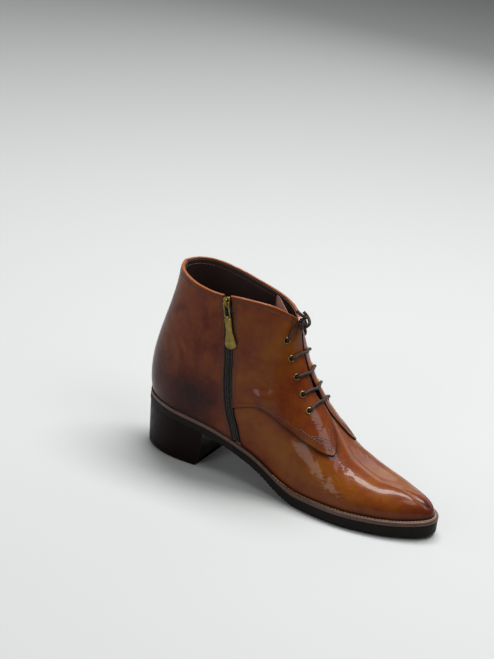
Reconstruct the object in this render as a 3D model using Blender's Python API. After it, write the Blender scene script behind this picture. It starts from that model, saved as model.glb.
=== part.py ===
"""Left lace up ankle boot on a low block heel, in metres, +X to the toe, +Y to the outer side, +Z up.

The upper is one hollow wall lofted from the feather line on the sole to the instep ridge and the collar.
The quarters are steps in that wall. Sole, welt and heel follow one outline and one underside curve.
"""

import math

import bmesh
import bpy
import numpy as np
from mathutils import Vector
from mathutils.bvhtree import BVHTree

MM = 0.001

# Driving sizes
LENGTH = 271 * MM  # outsole, heel back to toe tip
BALL_WIDTH = 90 * MM  # outsole across the ball
SEAT_HEIGHT = 46.5 * MM  # floor to the top of the welt at the heel's back
INSTEP_HEIGHT = 73 * MM  # floor to the ridge where the lacing starts
SHAFT_HEIGHT = 166 * MM  # floor to the collar at the back
COLLAR_WIDTH = 67 * MM  # across the collar at the ankle
HEEL_LENGTH = 66 * MM  # heel block under the seat, back to breast

# Thicknesses and clearances
RUBBER = 8.4 * MM
WELT = 3.8 * MM
WALL = 2.0 * MM
QUARTER_STEP = 1.3 * MM
INSOLE = 3.0 * MM
GAP = 0.3 * MM  # between pieces that meet

# Resolution of the lofts
COLUMNS = 34  # along each side, toe tip to heel back
ROWS = 12  # feather line to ridge or collar


def pchip(xs, ys):
    """A smooth curve through the points that never overshoots them."""
    xs, ys = np.asarray(xs, float), np.asarray(ys, float)
    step, rise = np.diff(xs), np.diff(ys)
    slope = rise / step
    grad = np.zeros(len(xs))
    for i in range(1, len(xs) - 1):
        if slope[i - 1] * slope[i] > 0:
            w1, w2 = 2 * step[i] + step[i - 1], step[i] + 2 * step[i - 1]
            grad[i] = (w1 + w2) / (w1 / slope[i - 1] + w2 / slope[i])
    grad[0], grad[-1] = slope[0], slope[-1]

    def at(x):
        x = min(max(x, xs[0]), xs[-1])
        i = min(int(np.searchsorted(xs, x, side="right")) - 1, len(step) - 1)
        t = (x - xs[i]) / step[i]
        a = (1 + 2 * t) * (1 - t) ** 2 * ys[i] + t * (1 - t) ** 2 * step[i] * grad[i]
        return a + t * t * (3 - 2 * t) * ys[i + 1] + t * t * (t - 1) * step[i] * grad[i + 1]

    return at


def columns_of(names, rows):
    """A table as one curve for each named column after the first, which they are read by."""
    data = np.array(rows, float)
    return {name: pchip(data[:, 0], data[:, n]) for n, name in enumerate(names) if n}


# Outsole outline: centre line and half widths as shares of BALL_WIDTH, before the ends are rounded
OUTLINE = columns_of(
    ("along", "centre", "inner", "outer"),
    [
        (0.00, 0.030, 0.365, 0.345),
        (0.16, 0.012, 0.362, 0.350),
        (0.30, 0.000, 0.340, 0.375),
        (0.42, 0.000, 0.335, 0.415),
        (0.55, 0.000, 0.400, 0.470),
        (0.66, 0.000, 0.462, 0.510),
        (0.74, 0.000, 0.480, 0.510),
        (0.85, -0.015, 0.455, 0.455),
        (1.00, -0.050, 0.370, 0.335),
    ],
)
TOE_ROUND = 88 * MM
TOE_POWER = 2.15
HEEL_ROUND = 44 * MM
HEEL_POWER = 1.92

# Underside of the outsole, as shares of SEAT_HEIGHT: flat under the ball, up to the seat and to the toe
UNDERSIDE = columns_of(
    ("along", "height"),
    [
        (0.000, 0.825),
        (0.110, 0.785),
        (0.185, 0.740),
        (0.255, 0.680),
        (0.330, 0.575),
        (0.405, 0.425),
        (0.480, 0.225),
        (0.540, 0.070),
        (0.590, 0.000),
        (0.735, 0.000),
        (0.870, 0.012),
        (1.000, 0.060),
    ],
)
# Rubber and welt thickness along the boot, and how far the welt stands out past the upper
EDGE = columns_of(
    ("along", "rubber", "welt", "ledge"),
    [
        (0.00, 0.70, 0.95, 1.0 * MM),
        (0.30, 0.72, 0.90, 1.0 * MM),
        (0.46, 0.85, 0.92, 1.4 * MM),
        (0.58, 1.00, 1.00, 3.0 * MM),
        (0.75, 1.06, 1.00, 3.4 * MM),
        (1.00, 1.20, 1.00, 3.6 * MM),
    ],
)


def share(x):
    return x / LENGTH


def rounding(x, s):
    """How far the outline closes in at the heel and at the toe, from 0 at the tip to 1."""
    heel = max(0.0, 1 - x / HEEL_ROUND)
    toe = max(0.0, (x - (LENGTH - TOE_ROUND)) / TOE_ROUND)
    closed = (1 - heel**HEEL_POWER) ** (1 / HEEL_POWER) * (1 - min(toe, 1) ** TOE_POWER) ** (1 / TOE_POWER)
    return 0.0 if s in (0, 1) else closed


def outline_at(turn):
    """A point of the outsole's outline: turn 0 is the toe tip, to 1 the outer side, 1 the heel back."""
    turn %= 2
    side, s = ("outer", turn) if turn <= 1 else ("inner", 2 - turn)
    x = LENGTH * (1 + math.cos(math.pi * s)) / 2
    half = OUTLINE[side](share(x)) * rounding(x, s) * BALL_WIDTH
    centre = OUTLINE["centre"](share(x)) * BALL_WIDTH
    return np.array([x, centre + half if side == "outer" else centre - half])


def outward_at(turn):
    """The outline's outward direction, level with the floor."""
    way = outline_at(turn + 0.02) - outline_at(turn - 0.02)
    way /= np.linalg.norm(way)
    return np.array([way[1], -way[0]])


TURNS = [i / COLUMNS for i in range(2 * COLUMNS)]
RING = np.array([outline_at(turn) for turn in TURNS])
OUTWARD = np.array([outward_at(turn) for turn in TURNS])


def underside(x):
    return UNDERSIDE["height"](share(x)) * SEAT_HEIGHT


def rubber_top(x):
    return underside(x) + EDGE["rubber"](share(x)) * RUBBER


def welt_top(x):
    return rubber_top(x) + EDGE["welt"](share(x)) * WELT


def inset_ring(inset):
    """The outline moved in by a width, which may be a function of x."""
    widths = [inset(x) if callable(inset) else inset for x, _ in RING]
    return RING - OUTWARD * np.array(widths)[:, None]


def ledge(x):
    return EDGE["ledge"](share(x))


# The upper's columns, toe tip (around 0) to heel back (around 1). The top end of a column lies on the
# instep ridge, then on the quarter's front edge and the collar: along as a share of LENGTH, across as a
# share of COLLAR_WIDTH, height in INSTEP_HEIGHT up to 1 and on to SHAFT_HEIGHT at 2. The way that a
# column leaves its top end is ahead, aside, down. Lean is the wall's outward lean at the sole in
# degrees. Hold_low and hold_top are how far it keeps each direction, as shares of its chord.
UPPER_NAMES = ("around", "along", "across", "height", "ahead", "aside", "down", "lean", "hold_low", "hold_top")
VAMP = {
    "inner": [
        (0.00, 0.886, 0.000, 0.4385, 1.00, 0.00, 0.29, -6, 0.30, 0.56),
        (0.10, 0.871, 0.000, 0.455, 0.85, 0.55, 0.20, -1, 0.38, 0.52),
        (0.20, 0.819, 0.000, 0.466, 0.50, 0.85, -0.04, 8, 0.43, 0.41),
        (0.30, 0.731, 0.000, 0.556, 0.18, 1.00, -0.18, 14, 0.40, 0.29),
        (0.36, 0.664, 0.000, 0.765, 0.13, 1.00, -0.14, 14, 0.36, 0.21),
        (0.41, 0.601, 0.000, 1.000, 0.12, 1.00, 0.00, 12, 0.33, 0.22),
    ],
    "outer": [
        (0.00, 0.886, 0.000, 0.4385, 1.00, 0.00, 0.29, -6, 0.30, 0.56),
        (0.10, 0.871, 0.000, 0.455, 0.85, 0.55, 0.28, -1, 0.37, 0.46),
        (0.20, 0.819, 0.000, 0.466, 0.50, 0.85, 0.34, 4, 0.38, 0.33),
        (0.30, 0.731, 0.000, 0.556, 0.18, 1.00, 0.38, 5, 0.36, 0.21),
        (0.36, 0.664, 0.000, 0.765, 0.13, 1.00, 0.34, 6, 0.33, 0.18),
        (0.41, 0.601, 0.000, 1.000, 0.12, 1.00, 0.20, 8, 0.33, 0.21),
    ],
}
UPPER = {
    "inner": columns_of(
        UPPER_NAMES,
        VAMP["inner"]
        + [
            (0.46, 0.553, 0.040, 1.145, 0.10, 1.00, 0.22, 10, 0.32, 0.24),
            (0.50, 0.516, 0.040, 1.310, 0.10, 1.00, 0.35, 9, 0.31, 0.28),
            (0.54, 0.484, 0.045, 1.550, 0.08, 1.00, 0.65, 7, 0.30, 0.31),
            (0.57, 0.472, 0.080, 1.755, 0.05, 0.75, 1.00, 5, 0.29, 0.33),
            (0.60, 0.446, 0.230, 1.865, 0.00, 0.35, 1.00, 5, 0.29, 0.35),
            (0.64, 0.402, 0.375, 1.925, 0.00, 0.15, 1.00, 6, 0.29, 0.36),
            (0.70, 0.325, 0.485, 1.945, 0.00, 0.05, 1.00, 8, 0.30, 0.38),
            (0.76, 0.244, 0.500, 1.925, 0.00, 0.00, 1.00, 11, 0.30, 0.40),
            (0.82, 0.174, 0.455, 1.935, -0.02, 0.00, 1.00, 13, 0.31, 0.38),
            (0.88, 0.114, 0.360, 1.968, -0.04, 0.00, 1.00, 15, 0.31, 0.36),
            (0.94, 0.073, 0.190, 1.990, -0.05, 0.00, 1.00, 16, 0.31, 0.35),
            (1.00, 0.058, 0.000, 2.000, -0.05, 0.00, 1.00, 17, 0.31, 0.34),
        ],
    ),
    "outer": columns_of(
        UPPER_NAMES,
        VAMP["outer"]
        + [
            (0.46, 0.553, 0.040, 1.145, 0.10, 1.00, 0.22, 10, 0.32, 0.24),
            (0.50, 0.516, 0.040, 1.310, 0.10, 1.00, 0.35, 9, 0.31, 0.28),
            (0.54, 0.484, 0.045, 1.535, 0.08, 1.00, 0.65, 7, 0.30, 0.31),
            (0.57, 0.470, 0.080, 1.690, 0.05, 0.75, 1.00, 5, 0.29, 0.33),
            (0.60, 0.440, 0.215, 1.755, 0.00, 0.35, 1.00, 5, 0.29, 0.35),
            (0.64, 0.398, 0.370, 1.790, 0.00, 0.15, 1.00, 6, 0.29, 0.36),
            (0.70, 0.325, 0.485, 1.832, 0.00, 0.05, 1.00, 8, 0.30, 0.38),
            (0.76, 0.244, 0.500, 1.886, 0.00, 0.00, 1.00, 11, 0.30, 0.40),
            (0.82, 0.174, 0.455, 1.942, -0.02, 0.00, 1.00, 13, 0.31, 0.38),
            (0.88, 0.114, 0.360, 1.983, -0.04, 0.00, 1.00, 15, 0.31, 0.36),
            (0.94, 0.073, 0.190, 1.998, -0.05, 0.00, 1.00, 16, 0.31, 0.35),
            (1.00, 0.058, 0.000, 2.000, -0.05, 0.00, 1.00, 17, 0.31, 0.34),
        ],
    ),
}
THROAT = 0.41  # where around the ridge the lacing opens


# How far the instep's ridge leans to the inner side, as a share of BALL_WIDTH
RIDGE = columns_of(("along", "across"), [(0.0, 0.0), (0.6, 0.0), (0.72, -0.035), (0.86, -0.070), (1.0, -0.070)])


def top_of(side, s):
    row = {name: UPPER[side][name](s) for name in ("along", "across", "height")}
    rise, shaft = min(row["height"], 1), max(row["height"] - 1, 0)
    sign = 1 if side == "outer" else -1
    across = RIDGE["across"](row["along"]) * BALL_WIDTH + sign * row["across"] * COLLAR_WIDTH
    return np.array([row["along"] * LENGTH, across, rise * INSTEP_HEIGHT + shaft * (SHAFT_HEIGHT - INSTEP_HEIGHT)])


def over_ridge(s):
    """The inner side's way off the vamp's ridge, in one plane with the ridge and the outer side's way."""
    ahead, aside, down = (UPPER["outer"][name](s) for name in ("ahead", "aside", "down"))
    ridge = top_of("outer", max(s - 0.015, 0.0)) - top_of("outer", s + 0.015)
    return 2 * ahead * ridge / ridge[0] - np.array([ahead, aside, -down])


def column(turn, t):
    """A point of the upper's outer face: t runs from the feather line on the sole to the top edge."""
    turn %= 2
    side, s = ("outer", turn) if turn <= 1 else ("inner", 2 - turn)
    row = {name: UPPER[side][name](s) for name in UPPER_NAMES[1:]}
    sign = 1 if side == "outer" else -1
    outward = outward_at(turn)
    foot = outline_at(turn)
    foot = foot - outward * ledge(foot[0])
    foot = np.array([*foot, welt_top(foot[0]) + 1.4 * GAP])
    top = top_of(side, s)
    chord = np.linalg.norm(top - foot)
    lean = math.radians(row["lean"])
    rising = np.array([*(outward * math.sin(lean)), math.cos(lean)])
    leaving = np.array([row["ahead"], sign * row["aside"], -row["down"]])
    if side == "inner" and s < THROAT:
        leaving = over_ridge(s)
    leaving /= np.linalg.norm(leaving)
    low = foot + rising * row["hold_low"] * chord
    high = top + leaving * row["hold_top"] * chord
    return (1 - t) ** 3 * foot + 3 * (1 - t) ** 2 * t * low + 3 * (1 - t) * t**2 * high + t**3 * top


def normal_at(turn, t):
    """The outward direction of the upper's outer face."""
    low, high = max(t - 0.01, 0.0), min(t + 0.01, 1.0)
    rise = column(turn, high) - column(turn, low)
    if t > 0.96:
        rise = column(turn, 0.97) - column(turn, 0.94)
    around = column(turn + 0.006, t) - column(turn - 0.006, t)
    normal = np.cross(around, rise)
    return normal / np.linalg.norm(normal)


def lifted(turn, t, height):
    """A point at a height over the upper's outer face, or under it."""
    return column(turn, t) + normal_at(turn, t) * height


# The lower edge of the quarters over the vamp and the front edge of their flaps: around, and how far up
# a column the edge lies. The inner one ends at the zip, the outer one drops to the sole by the waist.
FLAP = 0.366
QUARTER_NAMES = ("around", "low", "front")
QUARTER_FRONT = [
    (0.366, 0.620, 0.621),
    (0.370, 0.572, 0.705),
    (0.378, 0.542, 0.800),
    (0.390, 0.510, 0.900),
    (0.410, 0.486, 0.990),
    (0.435, 0.480, 0.990),
    (0.470, 0.476, 0.990),
    (0.505, 0.440, 0.990),
    (0.535, 0.402, 0.990),
    (0.565, 0.355, 0.990),
]
QUARTER = {
    "inner": columns_of(
        QUARTER_NAMES,
        QUARTER_FRONT
        + [
            (0.590, 0.300, 0.990),
            (0.613, 0.240, 0.990),
            (0.651, 0.420, 0.990),
            (0.672, 0.560, 0.990),
            (0.695, 0.700, 0.990),
            (0.715, 0.840, 0.990),
            (0.733, 0.985, 0.990),
        ],
    ),
    "outer": columns_of(
        QUARTER_NAMES,
        QUARTER_FRONT
        + [
            (0.595, 0.310, 0.990),
            (0.622, 0.240, 0.990),
            (0.645, 0.150, 0.990),
            (0.662, 0.000, 0.990),
            (1.000, 0.000, 0.990),
        ],
    ),
}
# The zip's centre line on the inner side, from the sole to the collar
ZIP = columns_of(
    ("up", "around"),
    [
        (0.00, 0.588),
        (0.10, 0.600),
        (0.18, 0.615),
        (0.28, 0.632),
        (0.42, 0.655),
        (0.56, 0.676),
        (0.70, 0.699),
        (0.84, 0.719),
        (1.00, 0.738),
    ],
)
ZIP_WIDTH = 8.4 * MM
EYELETS = [(0.580, 0.84), (0.547, 0.82), (0.516, 0.82), (0.486, 0.80), (0.456, 0.75)]


def side_turn(side, s):
    return s if side == "outer" else 2 - s


def sink(turn):
    """How far the wall lies under the upper's face: the quarters' thickness, easing to none in the vamp."""
    turn %= 2
    s = min(turn, 2 - turn)
    t = min(max((s - 0.43) / 0.17, 0.0), 1.0)
    return QUARTER_STEP * t * t * (3 - 2 * t)


def on_vamp(turn, t, height=0.0):
    """A point over the wall's own outer face."""
    height -= sink(turn)
    return lifted(turn, t, height) if height else column(turn, t)


def on_quarter(turn, t, height=0.0):
    """A point over the quarters' outer face."""
    return on_vamp(turn, t, height + QUARTER_STEP)


# The origin is on the floor under the middle of the boot's box. The counter stands out past the heel.
COUNTER = min(on_quarter(1.0, t)[0] for t in np.linspace(0, 1, 41))
ORIGIN = (RING.max(0) + RING.min(0)) / 2
ORIGIN[0] = (LENGTH + COUNTER) / 2


def to_frame(points):
    """Points of the heel's own frame in the part's frame, whose origin is under the sole's middle."""
    points = np.array(points, float)
    points[..., :2] -= ORIGIN
    return points


def last_form():
    """The upper's outer face as an open bmesh: a grid of columns, joined along the vamp's ridge."""
    form = bmesh.new()
    heights = [j / ROWS for j in range(ROWS + 1)]
    grid = [[form.verts.new(to_frame(on_vamp(turn, t))) for t in heights] for turn in TURNS]
    for k in range(1, COLUMNS):
        if k / COLUMNS <= THROAT:
            form.verts.remove(grid[2 * COLUMNS - k][ROWS])
            grid[2 * COLUMNS - k][ROWS] = grid[k][ROWS]
    for i in range(2 * COLUMNS):
        one, two = grid[i], grid[(i + 1) % (2 * COLUMNS)]
        for j in range(ROWS):
            corners = [one[j], two[j], two[j + 1], one[j + 1]]
            form.faces.new(list(dict.fromkeys(corners)))
    form.normal_update()
    return form


def add_object(name, form, colour, roughness, metallic=0.0):
    """A named object from a bmesh, with its own material."""
    mesh = bpy.data.meshes.new(name)
    form.to_mesh(mesh)
    form.free()
    mesh.shade_smooth()
    mesh.set_sharp_from_angle(angle=math.radians(35))
    obj = bpy.data.objects.new(name, mesh)
    bpy.context.scene.collection.objects.link(obj)
    material = bpy.data.materials.new(name)
    material.use_nodes = True
    shader = material.node_tree.nodes["Principled BSDF"]
    shader.inputs["Base Color"].default_value = (*colour, 1)
    shader.inputs["Roughness"].default_value = roughness
    shader.inputs["Metallic"].default_value = metallic
    mesh.materials.append(material)
    return obj


def plate(layers):
    """A closed solid from rings of the outline, lowest first, with flat strips across top and bottom."""
    form = bmesh.new()
    rings = [[form.verts.new(p) for p in to_frame(layer)] for layer in layers]
    count = len(rings[0])
    for lower, upper in zip(rings, rings[1:]):
        for i in range(count):
            j = (i + 1) % count
            form.faces.new([lower[i], lower[j], upper[j], upper[i]])
    for ring, flip in ((rings[0], True), (rings[-1], False)):
        for k in range(count // 2):
            corners = [ring[k], ring[k + 1], ring[-k - 1], ring[-k] if k else ring[0]]
            corners = list(dict.fromkeys(corners))
            form.faces.new(corners[::-1] if flip else corners)
    form.normal_update()
    return form


def layer(inset, height):
    """The outline inset by a width, at a height above the floor that may vary along the boot."""
    return [(x, y, height(x)) for x, y in inset_ring(inset)]


def make_outsole():
    bevel = 1.0 * MM
    form = plate(
        [
            layer(bevel, underside),
            layer(0.4 * MM, lambda x: underside(x) + bevel),
            layer(0.0, lambda x: rubber_top(x) - GAP),
        ]
    )
    return add_object("outsole", form, (0.035, 0.022, 0.017), 0.55)


def make_welt():
    round_edge = 0.6 * MM
    form = plate(
        [
            layer(0.2 * MM, rubber_top),
            layer(0.0, lambda x: rubber_top(x) + round_edge),
            layer(0.0, lambda x: welt_top(x) - round_edge),
            layer(round_edge, welt_top),
        ]
    )
    return add_object("welt", form, (0.13, 0.05, 0.025), 0.5)


def make_insole():
    inset = lambda x: ledge(x) + WALL + 2.0 * MM
    form = plate(
        [
            layer(inset, lambda x: welt_top(x) + GAP),
            layer(inset, lambda x: welt_top(x) + GAP + INSOLE),
        ]
    )
    return add_object("insole", form, (0.10, 0.05, 0.03), 0.7)


def make_heel():
    """The heel block: the seat's outline drawn in towards the floor, with a slightly hollow breast."""
    count, levels, across = 14, 6, 5
    form = bmesh.new()
    rings = []
    for level in range(levels + 1):
        down = level / levels
        taper = 1 - 0.075 * down ** 0.8
        ring = []
        for side, order in (("outer", range(count, -1, -1)), ("inner", range(1, count + 1))):
            for j in order:
                x = HEEL_LENGTH * (1 - math.cos(math.pi * j / count)) / 2 + 1.0 * MM
                turn = side_turn(side, math.acos(2 * share(x) - 1) / math.pi)
                y = (outline_at(turn)[1] - 0.8 * MM * (1 if side == "outer" else -1)) if j else outline_at(1.0)[1]
                ahead = x / HEEL_LENGTH
                moved = x + down * (2.6 * MM * (1 - ahead) - 4.0 * MM * ahead**3)
                z = (1 - down) * (underside(x) - GAP)
                ring.append((moved, y * taper, z))
        ends = ring[-1], ring[0]
        for j in range(1, across):
            t = j / across
            hollow = 1.6 * MM * 4 * t * (1 - t)
            x, y, z = (np.array(ends[0]) * (1 - t) + np.array(ends[1]) * t).tolist()
            ring.append((x - hollow, y, z))
        rings.append(ring)
    verts = [[form.verts.new(p) for p in to_frame(ring)] for ring in rings]
    total = len(verts[0])
    for upper, lower in zip(verts, verts[1:]):
        for i in range(total):
            j = (i + 1) % total
            form.faces.new([upper[i], upper[j], lower[j], lower[i]])
    back = count
    for ring, flip in ((verts[0], False), (verts[-1], True)):
        for j in range(back):
            corners = [ring[j], ring[j + 1], ring[2 * back - j - 1], ring[2 * back - j]]
            corners = list(dict.fromkeys(corners))
            form.faces.new(corners[::-1] if flip else corners)
        breast = [ring[0], ring[2 * back]] + ring[2 * back + 1 :]
        form.faces.new(breast[::-1] if flip else breast)
    bmesh.ops.recalc_face_normals(form, faces=form.faces)
    return add_object("heel_block", form, (0.03, 0.018, 0.014), 0.5)


def shell(outer, inner):
    """A closed solid between two grids of points, rows of the same length."""
    form = bmesh.new()
    rows, cols = len(outer), len(outer[0])
    near = [[form.verts.new(p) for p in to_frame(row)] for row in outer]
    far = [[form.verts.new(p) for p in to_frame(row)] for row in inner]
    for i in range(rows - 1):
        for j in range(cols - 1):
            form.faces.new([near[i][j], near[i + 1][j], near[i + 1][j + 1], near[i][j + 1]])
            form.faces.new([far[i][j], far[i][j + 1], far[i + 1][j + 1], far[i + 1][j]])
    for i in range(rows - 1):
        for j in (0, cols - 1):
            form.faces.new([near[i][j], near[i + 1][j], far[i + 1][j], far[i][j]])
    for j in range(cols - 1):
        for i in (0, rows - 1):
            form.faces.new([near[i][j], near[i][j + 1], far[i][j + 1], far[i][j]])
    bmesh.ops.remove_doubles(form, verts=form.verts, dist=1e-5)
    bmesh.ops.dissolve_degenerate(form, edges=form.edges, dist=1e-6)
    bmesh.ops.recalc_face_normals(form, faces=form.faces)
    return form


def quarter_grid(side, start, end, count, rows):
    """Heights and turns of a quarter's columns, close together at the flap's round tip."""
    grid = []
    for j in range(count + 1):
        s = start + (end - start) * (j / count) ** 1.35
        low, front = QUARTER[side]["low"](s), QUARTER[side]["front"](s)
        grid.append([(side_turn(side, s), low + (front - low) * i / rows) for i in range(rows + 1)])
    return grid


def behind_zip(count, rows):
    """The outer quarter's columns carried on round the heel's back to the zip's centre line."""
    grid = []
    for j in range(1, count + 1):
        heights = [0.99 * i / rows for i in range(rows + 1)]
        starts = [ZIP["around"](t) + 0.004 for t in heights]
        grid.append([(1 + (1 - s) * j / count, t) for s, t in zip(starts, heights)])
    return grid


def quarter_shell(grid):
    """A quarter's layer as a shell sunk into the wall."""
    outer = [[on_quarter(turn, t) for turn, t in row] for row in grid]
    inner = [[on_vamp(turn, t, -0.6 * WALL) for turn, t in row] for row in grid]
    return shell(outer, inner)


def zip_path(low, high, count):
    """Points, ways up, outward and along of the zip's centre line."""
    frames = []
    for i in range(count + 1):
        t = low + (high - low) * i / count
        turn = 2 - ZIP["around"](t)
        here = on_quarter(turn, t)
        way = on_quarter(2 - ZIP["around"](t + 0.01), t + 0.01) - on_quarter(2 - ZIP["around"](t - 0.01), t - 0.01)
        way /= np.linalg.norm(way)
        out = normal_at(turn, min(max(t, 0.0), 1.0))
        across = np.cross(out, way)
        across /= np.linalg.norm(across)
        frames.append((here, way, np.cross(way, across), across))
    return frames


def ribbon(frames, width, low, high):
    """A strip of a width along a path, between two heights over the quarters' face."""
    outer, inner = [], []
    for here, _, out, across in frames:
        outer.append([here + across * side * width / 2 + out * high for side in (-1, 1)])
        inner.append([here + across * side * width / 2 + out * low for side in (-1, 1)])
    return shell(outer, inner)


def add_cutter(name, form):
    mesh = bpy.data.meshes.new(name)
    form.to_mesh(mesh)
    form.free()
    obj = bpy.data.objects.new(name, mesh)
    bpy.context.scene.collection.objects.link(obj)
    obj.hide_render = True
    obj.display_type = "WIRE"
    return obj


def combine(obj, other, operation):
    step = obj.modifiers.new(other.name, "BOOLEAN")
    step.operation = operation
    step.solver = "EXACT"
    step.object = other


def turned(profile, centre, axis, segments):
    """A closed ring turned about an axis from (radius, height) points."""
    form = bmesh.new()
    axis = np.array(axis) / np.linalg.norm(axis)
    side = np.cross(axis, [0.0, 0.0, 1.0])
    side /= np.linalg.norm(side)
    other = np.cross(axis, side)
    rings = []
    for i in range(segments):
        a = 2 * math.pi * i / segments
        ray = side * math.cos(a) + other * math.sin(a)
        rings.append([form.verts.new(p) for p in to_frame([centre + ray * r + axis * h for r, h in profile])])
    for i in range(segments):
        one, two = rings[i], rings[(i + 1) % segments]
        for j in range(len(profile)):
            k = (j + 1) % len(profile)
            form.faces.new([one[j], two[j], two[k], one[k]])
    bmesh.ops.recalc_face_normals(form, faces=form.faces)
    return form


def tube(points, radius, segments=8):
    """A round bar along points, closed at both ends."""
    form = bmesh.new()
    points = np.array(points)
    ways = np.gradient(points, axis=0)
    side = np.cross(ways[0], [0.3, 0.2, 1.0])
    rings = []
    for point, way in zip(points, ways):
        way = way / np.linalg.norm(way)
        side = side - way * np.dot(side, way)
        side /= np.linalg.norm(side)
        other = np.cross(way, side)
        ring = [
            point + (side * math.cos(a) + other * math.sin(a)) * radius
            for a in (2 * math.pi * k / segments for k in range(segments))
        ]
        rings.append([form.verts.new(p) for p in to_frame(ring)])
    for one, two in zip(rings, rings[1:]):
        for k in range(segments):
            form.faces.new([one[k], one[(k + 1) % segments], two[(k + 1) % segments], two[k]])
    form.faces.new(rings[0])
    form.faces.new(rings[-1])
    bmesh.ops.recalc_face_normals(form, faces=form.faces)
    return form


def smooth_path(points, count):
    """A curve through the points, each coordinate smooth in the distance along them."""
    points = np.array(points, float)
    along = np.concatenate([[0], np.cumsum(np.linalg.norm(np.diff(points, axis=0), axis=1))])
    curves = [pchip(along, points[:, k]) for k in range(3)]
    return [np.array([c(d) for c in curves]) for d in np.linspace(0, along[-1], count)]


def eyelet_place(side, index):
    s, t = EYELETS[index]
    turn = side_turn(side, s)
    return on_quarter(turn, t), normal_at(turn, t)


def make_upper():
    upper = add_object("upper", last_form(), (0.30, 0.09, 0.02), 0.3)
    wall = upper.modifiers.new("wall", "SOLIDIFY")
    wall.thickness = WALL
    wall.offset = -1
    wall.use_even_offset = True
    outer = quarter_shell(quarter_grid("outer", FLAP, 1.0, 34, 9) + behind_zip(12, 9))
    combine(upper, add_cutter("quarter_outer", outer), "UNION")
    inner = quarter_shell(quarter_grid("inner", FLAP, 0.732, 24, 8))
    combine(upper, add_cutter("quarter_inner", inner), "UNION")
    slot = ribbon(zip_path(0.03, 1.02, 17), ZIP_WIDTH, -9.0 * MM, 4.0 * MM)
    combine(upper, add_cutter("zip_slot", slot), "DIFFERENCE")
    holes = bmesh.new()
    for side in ("inner", "outer"):
        for index in range(len(EYELETS)):
            here, out = eyelet_place(side, index)
            hole = tube([here - out * 7 * MM, here + out * 3 * MM], 2.2 * MM, 10)
            mesh = bpy.data.meshes.new("hole")
            hole.to_mesh(mesh)
            holes.from_mesh(mesh)
            bpy.data.meshes.remove(mesh)
            hole.free()
    combine(upper, add_cutter("eyelet_holes", holes), "DIFFERENCE")
    return upper


def make_eyelets():
    profile = [(1.35, -2.9), (1.80, -2.9), (1.80, 0.35), (2.9, 0.35), (2.6, 0.90), (1.45, 1.00)]
    profile = [(r * MM, h * MM) for r, h in profile]
    for side in ("inner", "outer"):
        for index in range(len(EYELETS)):
            here, out = eyelet_place(side, index)
            form = turned(profile, here, out, 10)
            add_object(f"eyelet_{side}_{index + 1}", form, (0.32, 0.22, 0.09), 0.35, 1.0)


def make_tongue():
    """A leaf under the throat, from under the vamp to a round top over the quarters' front corners."""
    clear = WALL + GAP + 0.6 * MM
    thick = 1.6 * MM
    reach = columns_of(
        ("around", "width"),
        [(0.385, 0.14), (0.41, 0.20), (0.45, 0.26), (0.50, 0.27), (0.54, 0.25), (0.572, 0.22)],
    )["width"]
    outer, inner = [], []
    for s in np.linspace(0.392, 0.572, 15):
        near, far = [], []
        width = reach(s)
        for side, steps in (("inner", (0.0, 0.34, 0.67, 1.0)), ("outer", (1.0, 0.67, 0.34, 0.0))):
            for step in steps:
                t = 0.99 - width * (1 - step)
                turn = side_turn(side, s)
                near.append(on_vamp(turn, t, -clear))
                far.append(on_vamp(turn, t, -clear - thick))
        outer.append(near)
        inner.append(far)
    last_near, last_far = outer[-1], inner[-1]
    rise = np.array([-0.40, 0.0, 0.92])
    for step, narrow in ((3.0, 0.94), (6.5, 0.86), (9.5, 0.72), (11.5, 0.50)):
        for rows, last in ((outer, last_near), (inner, last_far)):
            centre = (last[3] + last[4]) / 2
            moved = [centre + (p - centre) * narrow + rise * step * MM for p in last]
            rows.append(moved)
    return add_object("tongue", shell(outer, inner), (0.22, 0.08, 0.03), 0.5)


LACE = 1.45 * MM  # radius


# How much nearer the toe a bar crosses the quarters' edges than its eyelets lie, square to the throat's slope
SQUARE = 0.018


def over_throat(index, height):
    """Points from the inner to the outer eyelet of a row, over the quarters' front edges."""
    s, t = EYELETS[index]
    lean = SQUARE if index else 0.0  # the top bar is drawn up by its knot
    points = []
    for side, shares in (("inner", (0.0, 0.5, 1.0)), ("outer", (1.0, 0.5, 0.0))):
        for q in shares:
            points.append(on_quarter(side_turn(side, s - lean * q), min(t + (1 - t) * q, 0.99), height))
    middle = (points[2] + points[3]) / 2
    return points[:3] + [middle] + points[3:]


def make_laces():
    height = 1.25 * MM + GAP + LACE
    for index in range(1, len(EYELETS)):
        path = smooth_path(over_throat(index, height), 11)
        add_object(f"lace_bar_{index + 1}", tube(path, LACE), (0.035, 0.022, 0.018), 0.5)
    path = over_throat(0, height)
    at = knot_frame()
    for name, ends, a in (("inner", path[:2], -7.2), ("outer", path[:-3:-1], 7.2)):
        half = smooth_path([*ends, at(1.22 * a * MM, 0, 1.3 * MM), at(a * MM, 0, 2.6 * MM)], 8)
        add_object(f"lace_top_{name}", tube(half, LACE), (0.035, 0.022, 0.018), 0.5)


# The zip's slider and its hanging tab, in the zip's own frame: across, up along the zip, out
SLIDER_AT = 0.958
HINGE_OUT = 2.65 * MM
LINK = 12.0 * MM  # between the two hinges
PULL = 26.6 * MM
WIRE = 0.5 * MM  # radius of the link's wire


def slider_frame():
    here, way, out, across = zip_path(SLIDER_AT - 0.02, SLIDER_AT + 0.02, 2)[1]
    return lambda a, w, n: here + across * a + way * w + out * n


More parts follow.
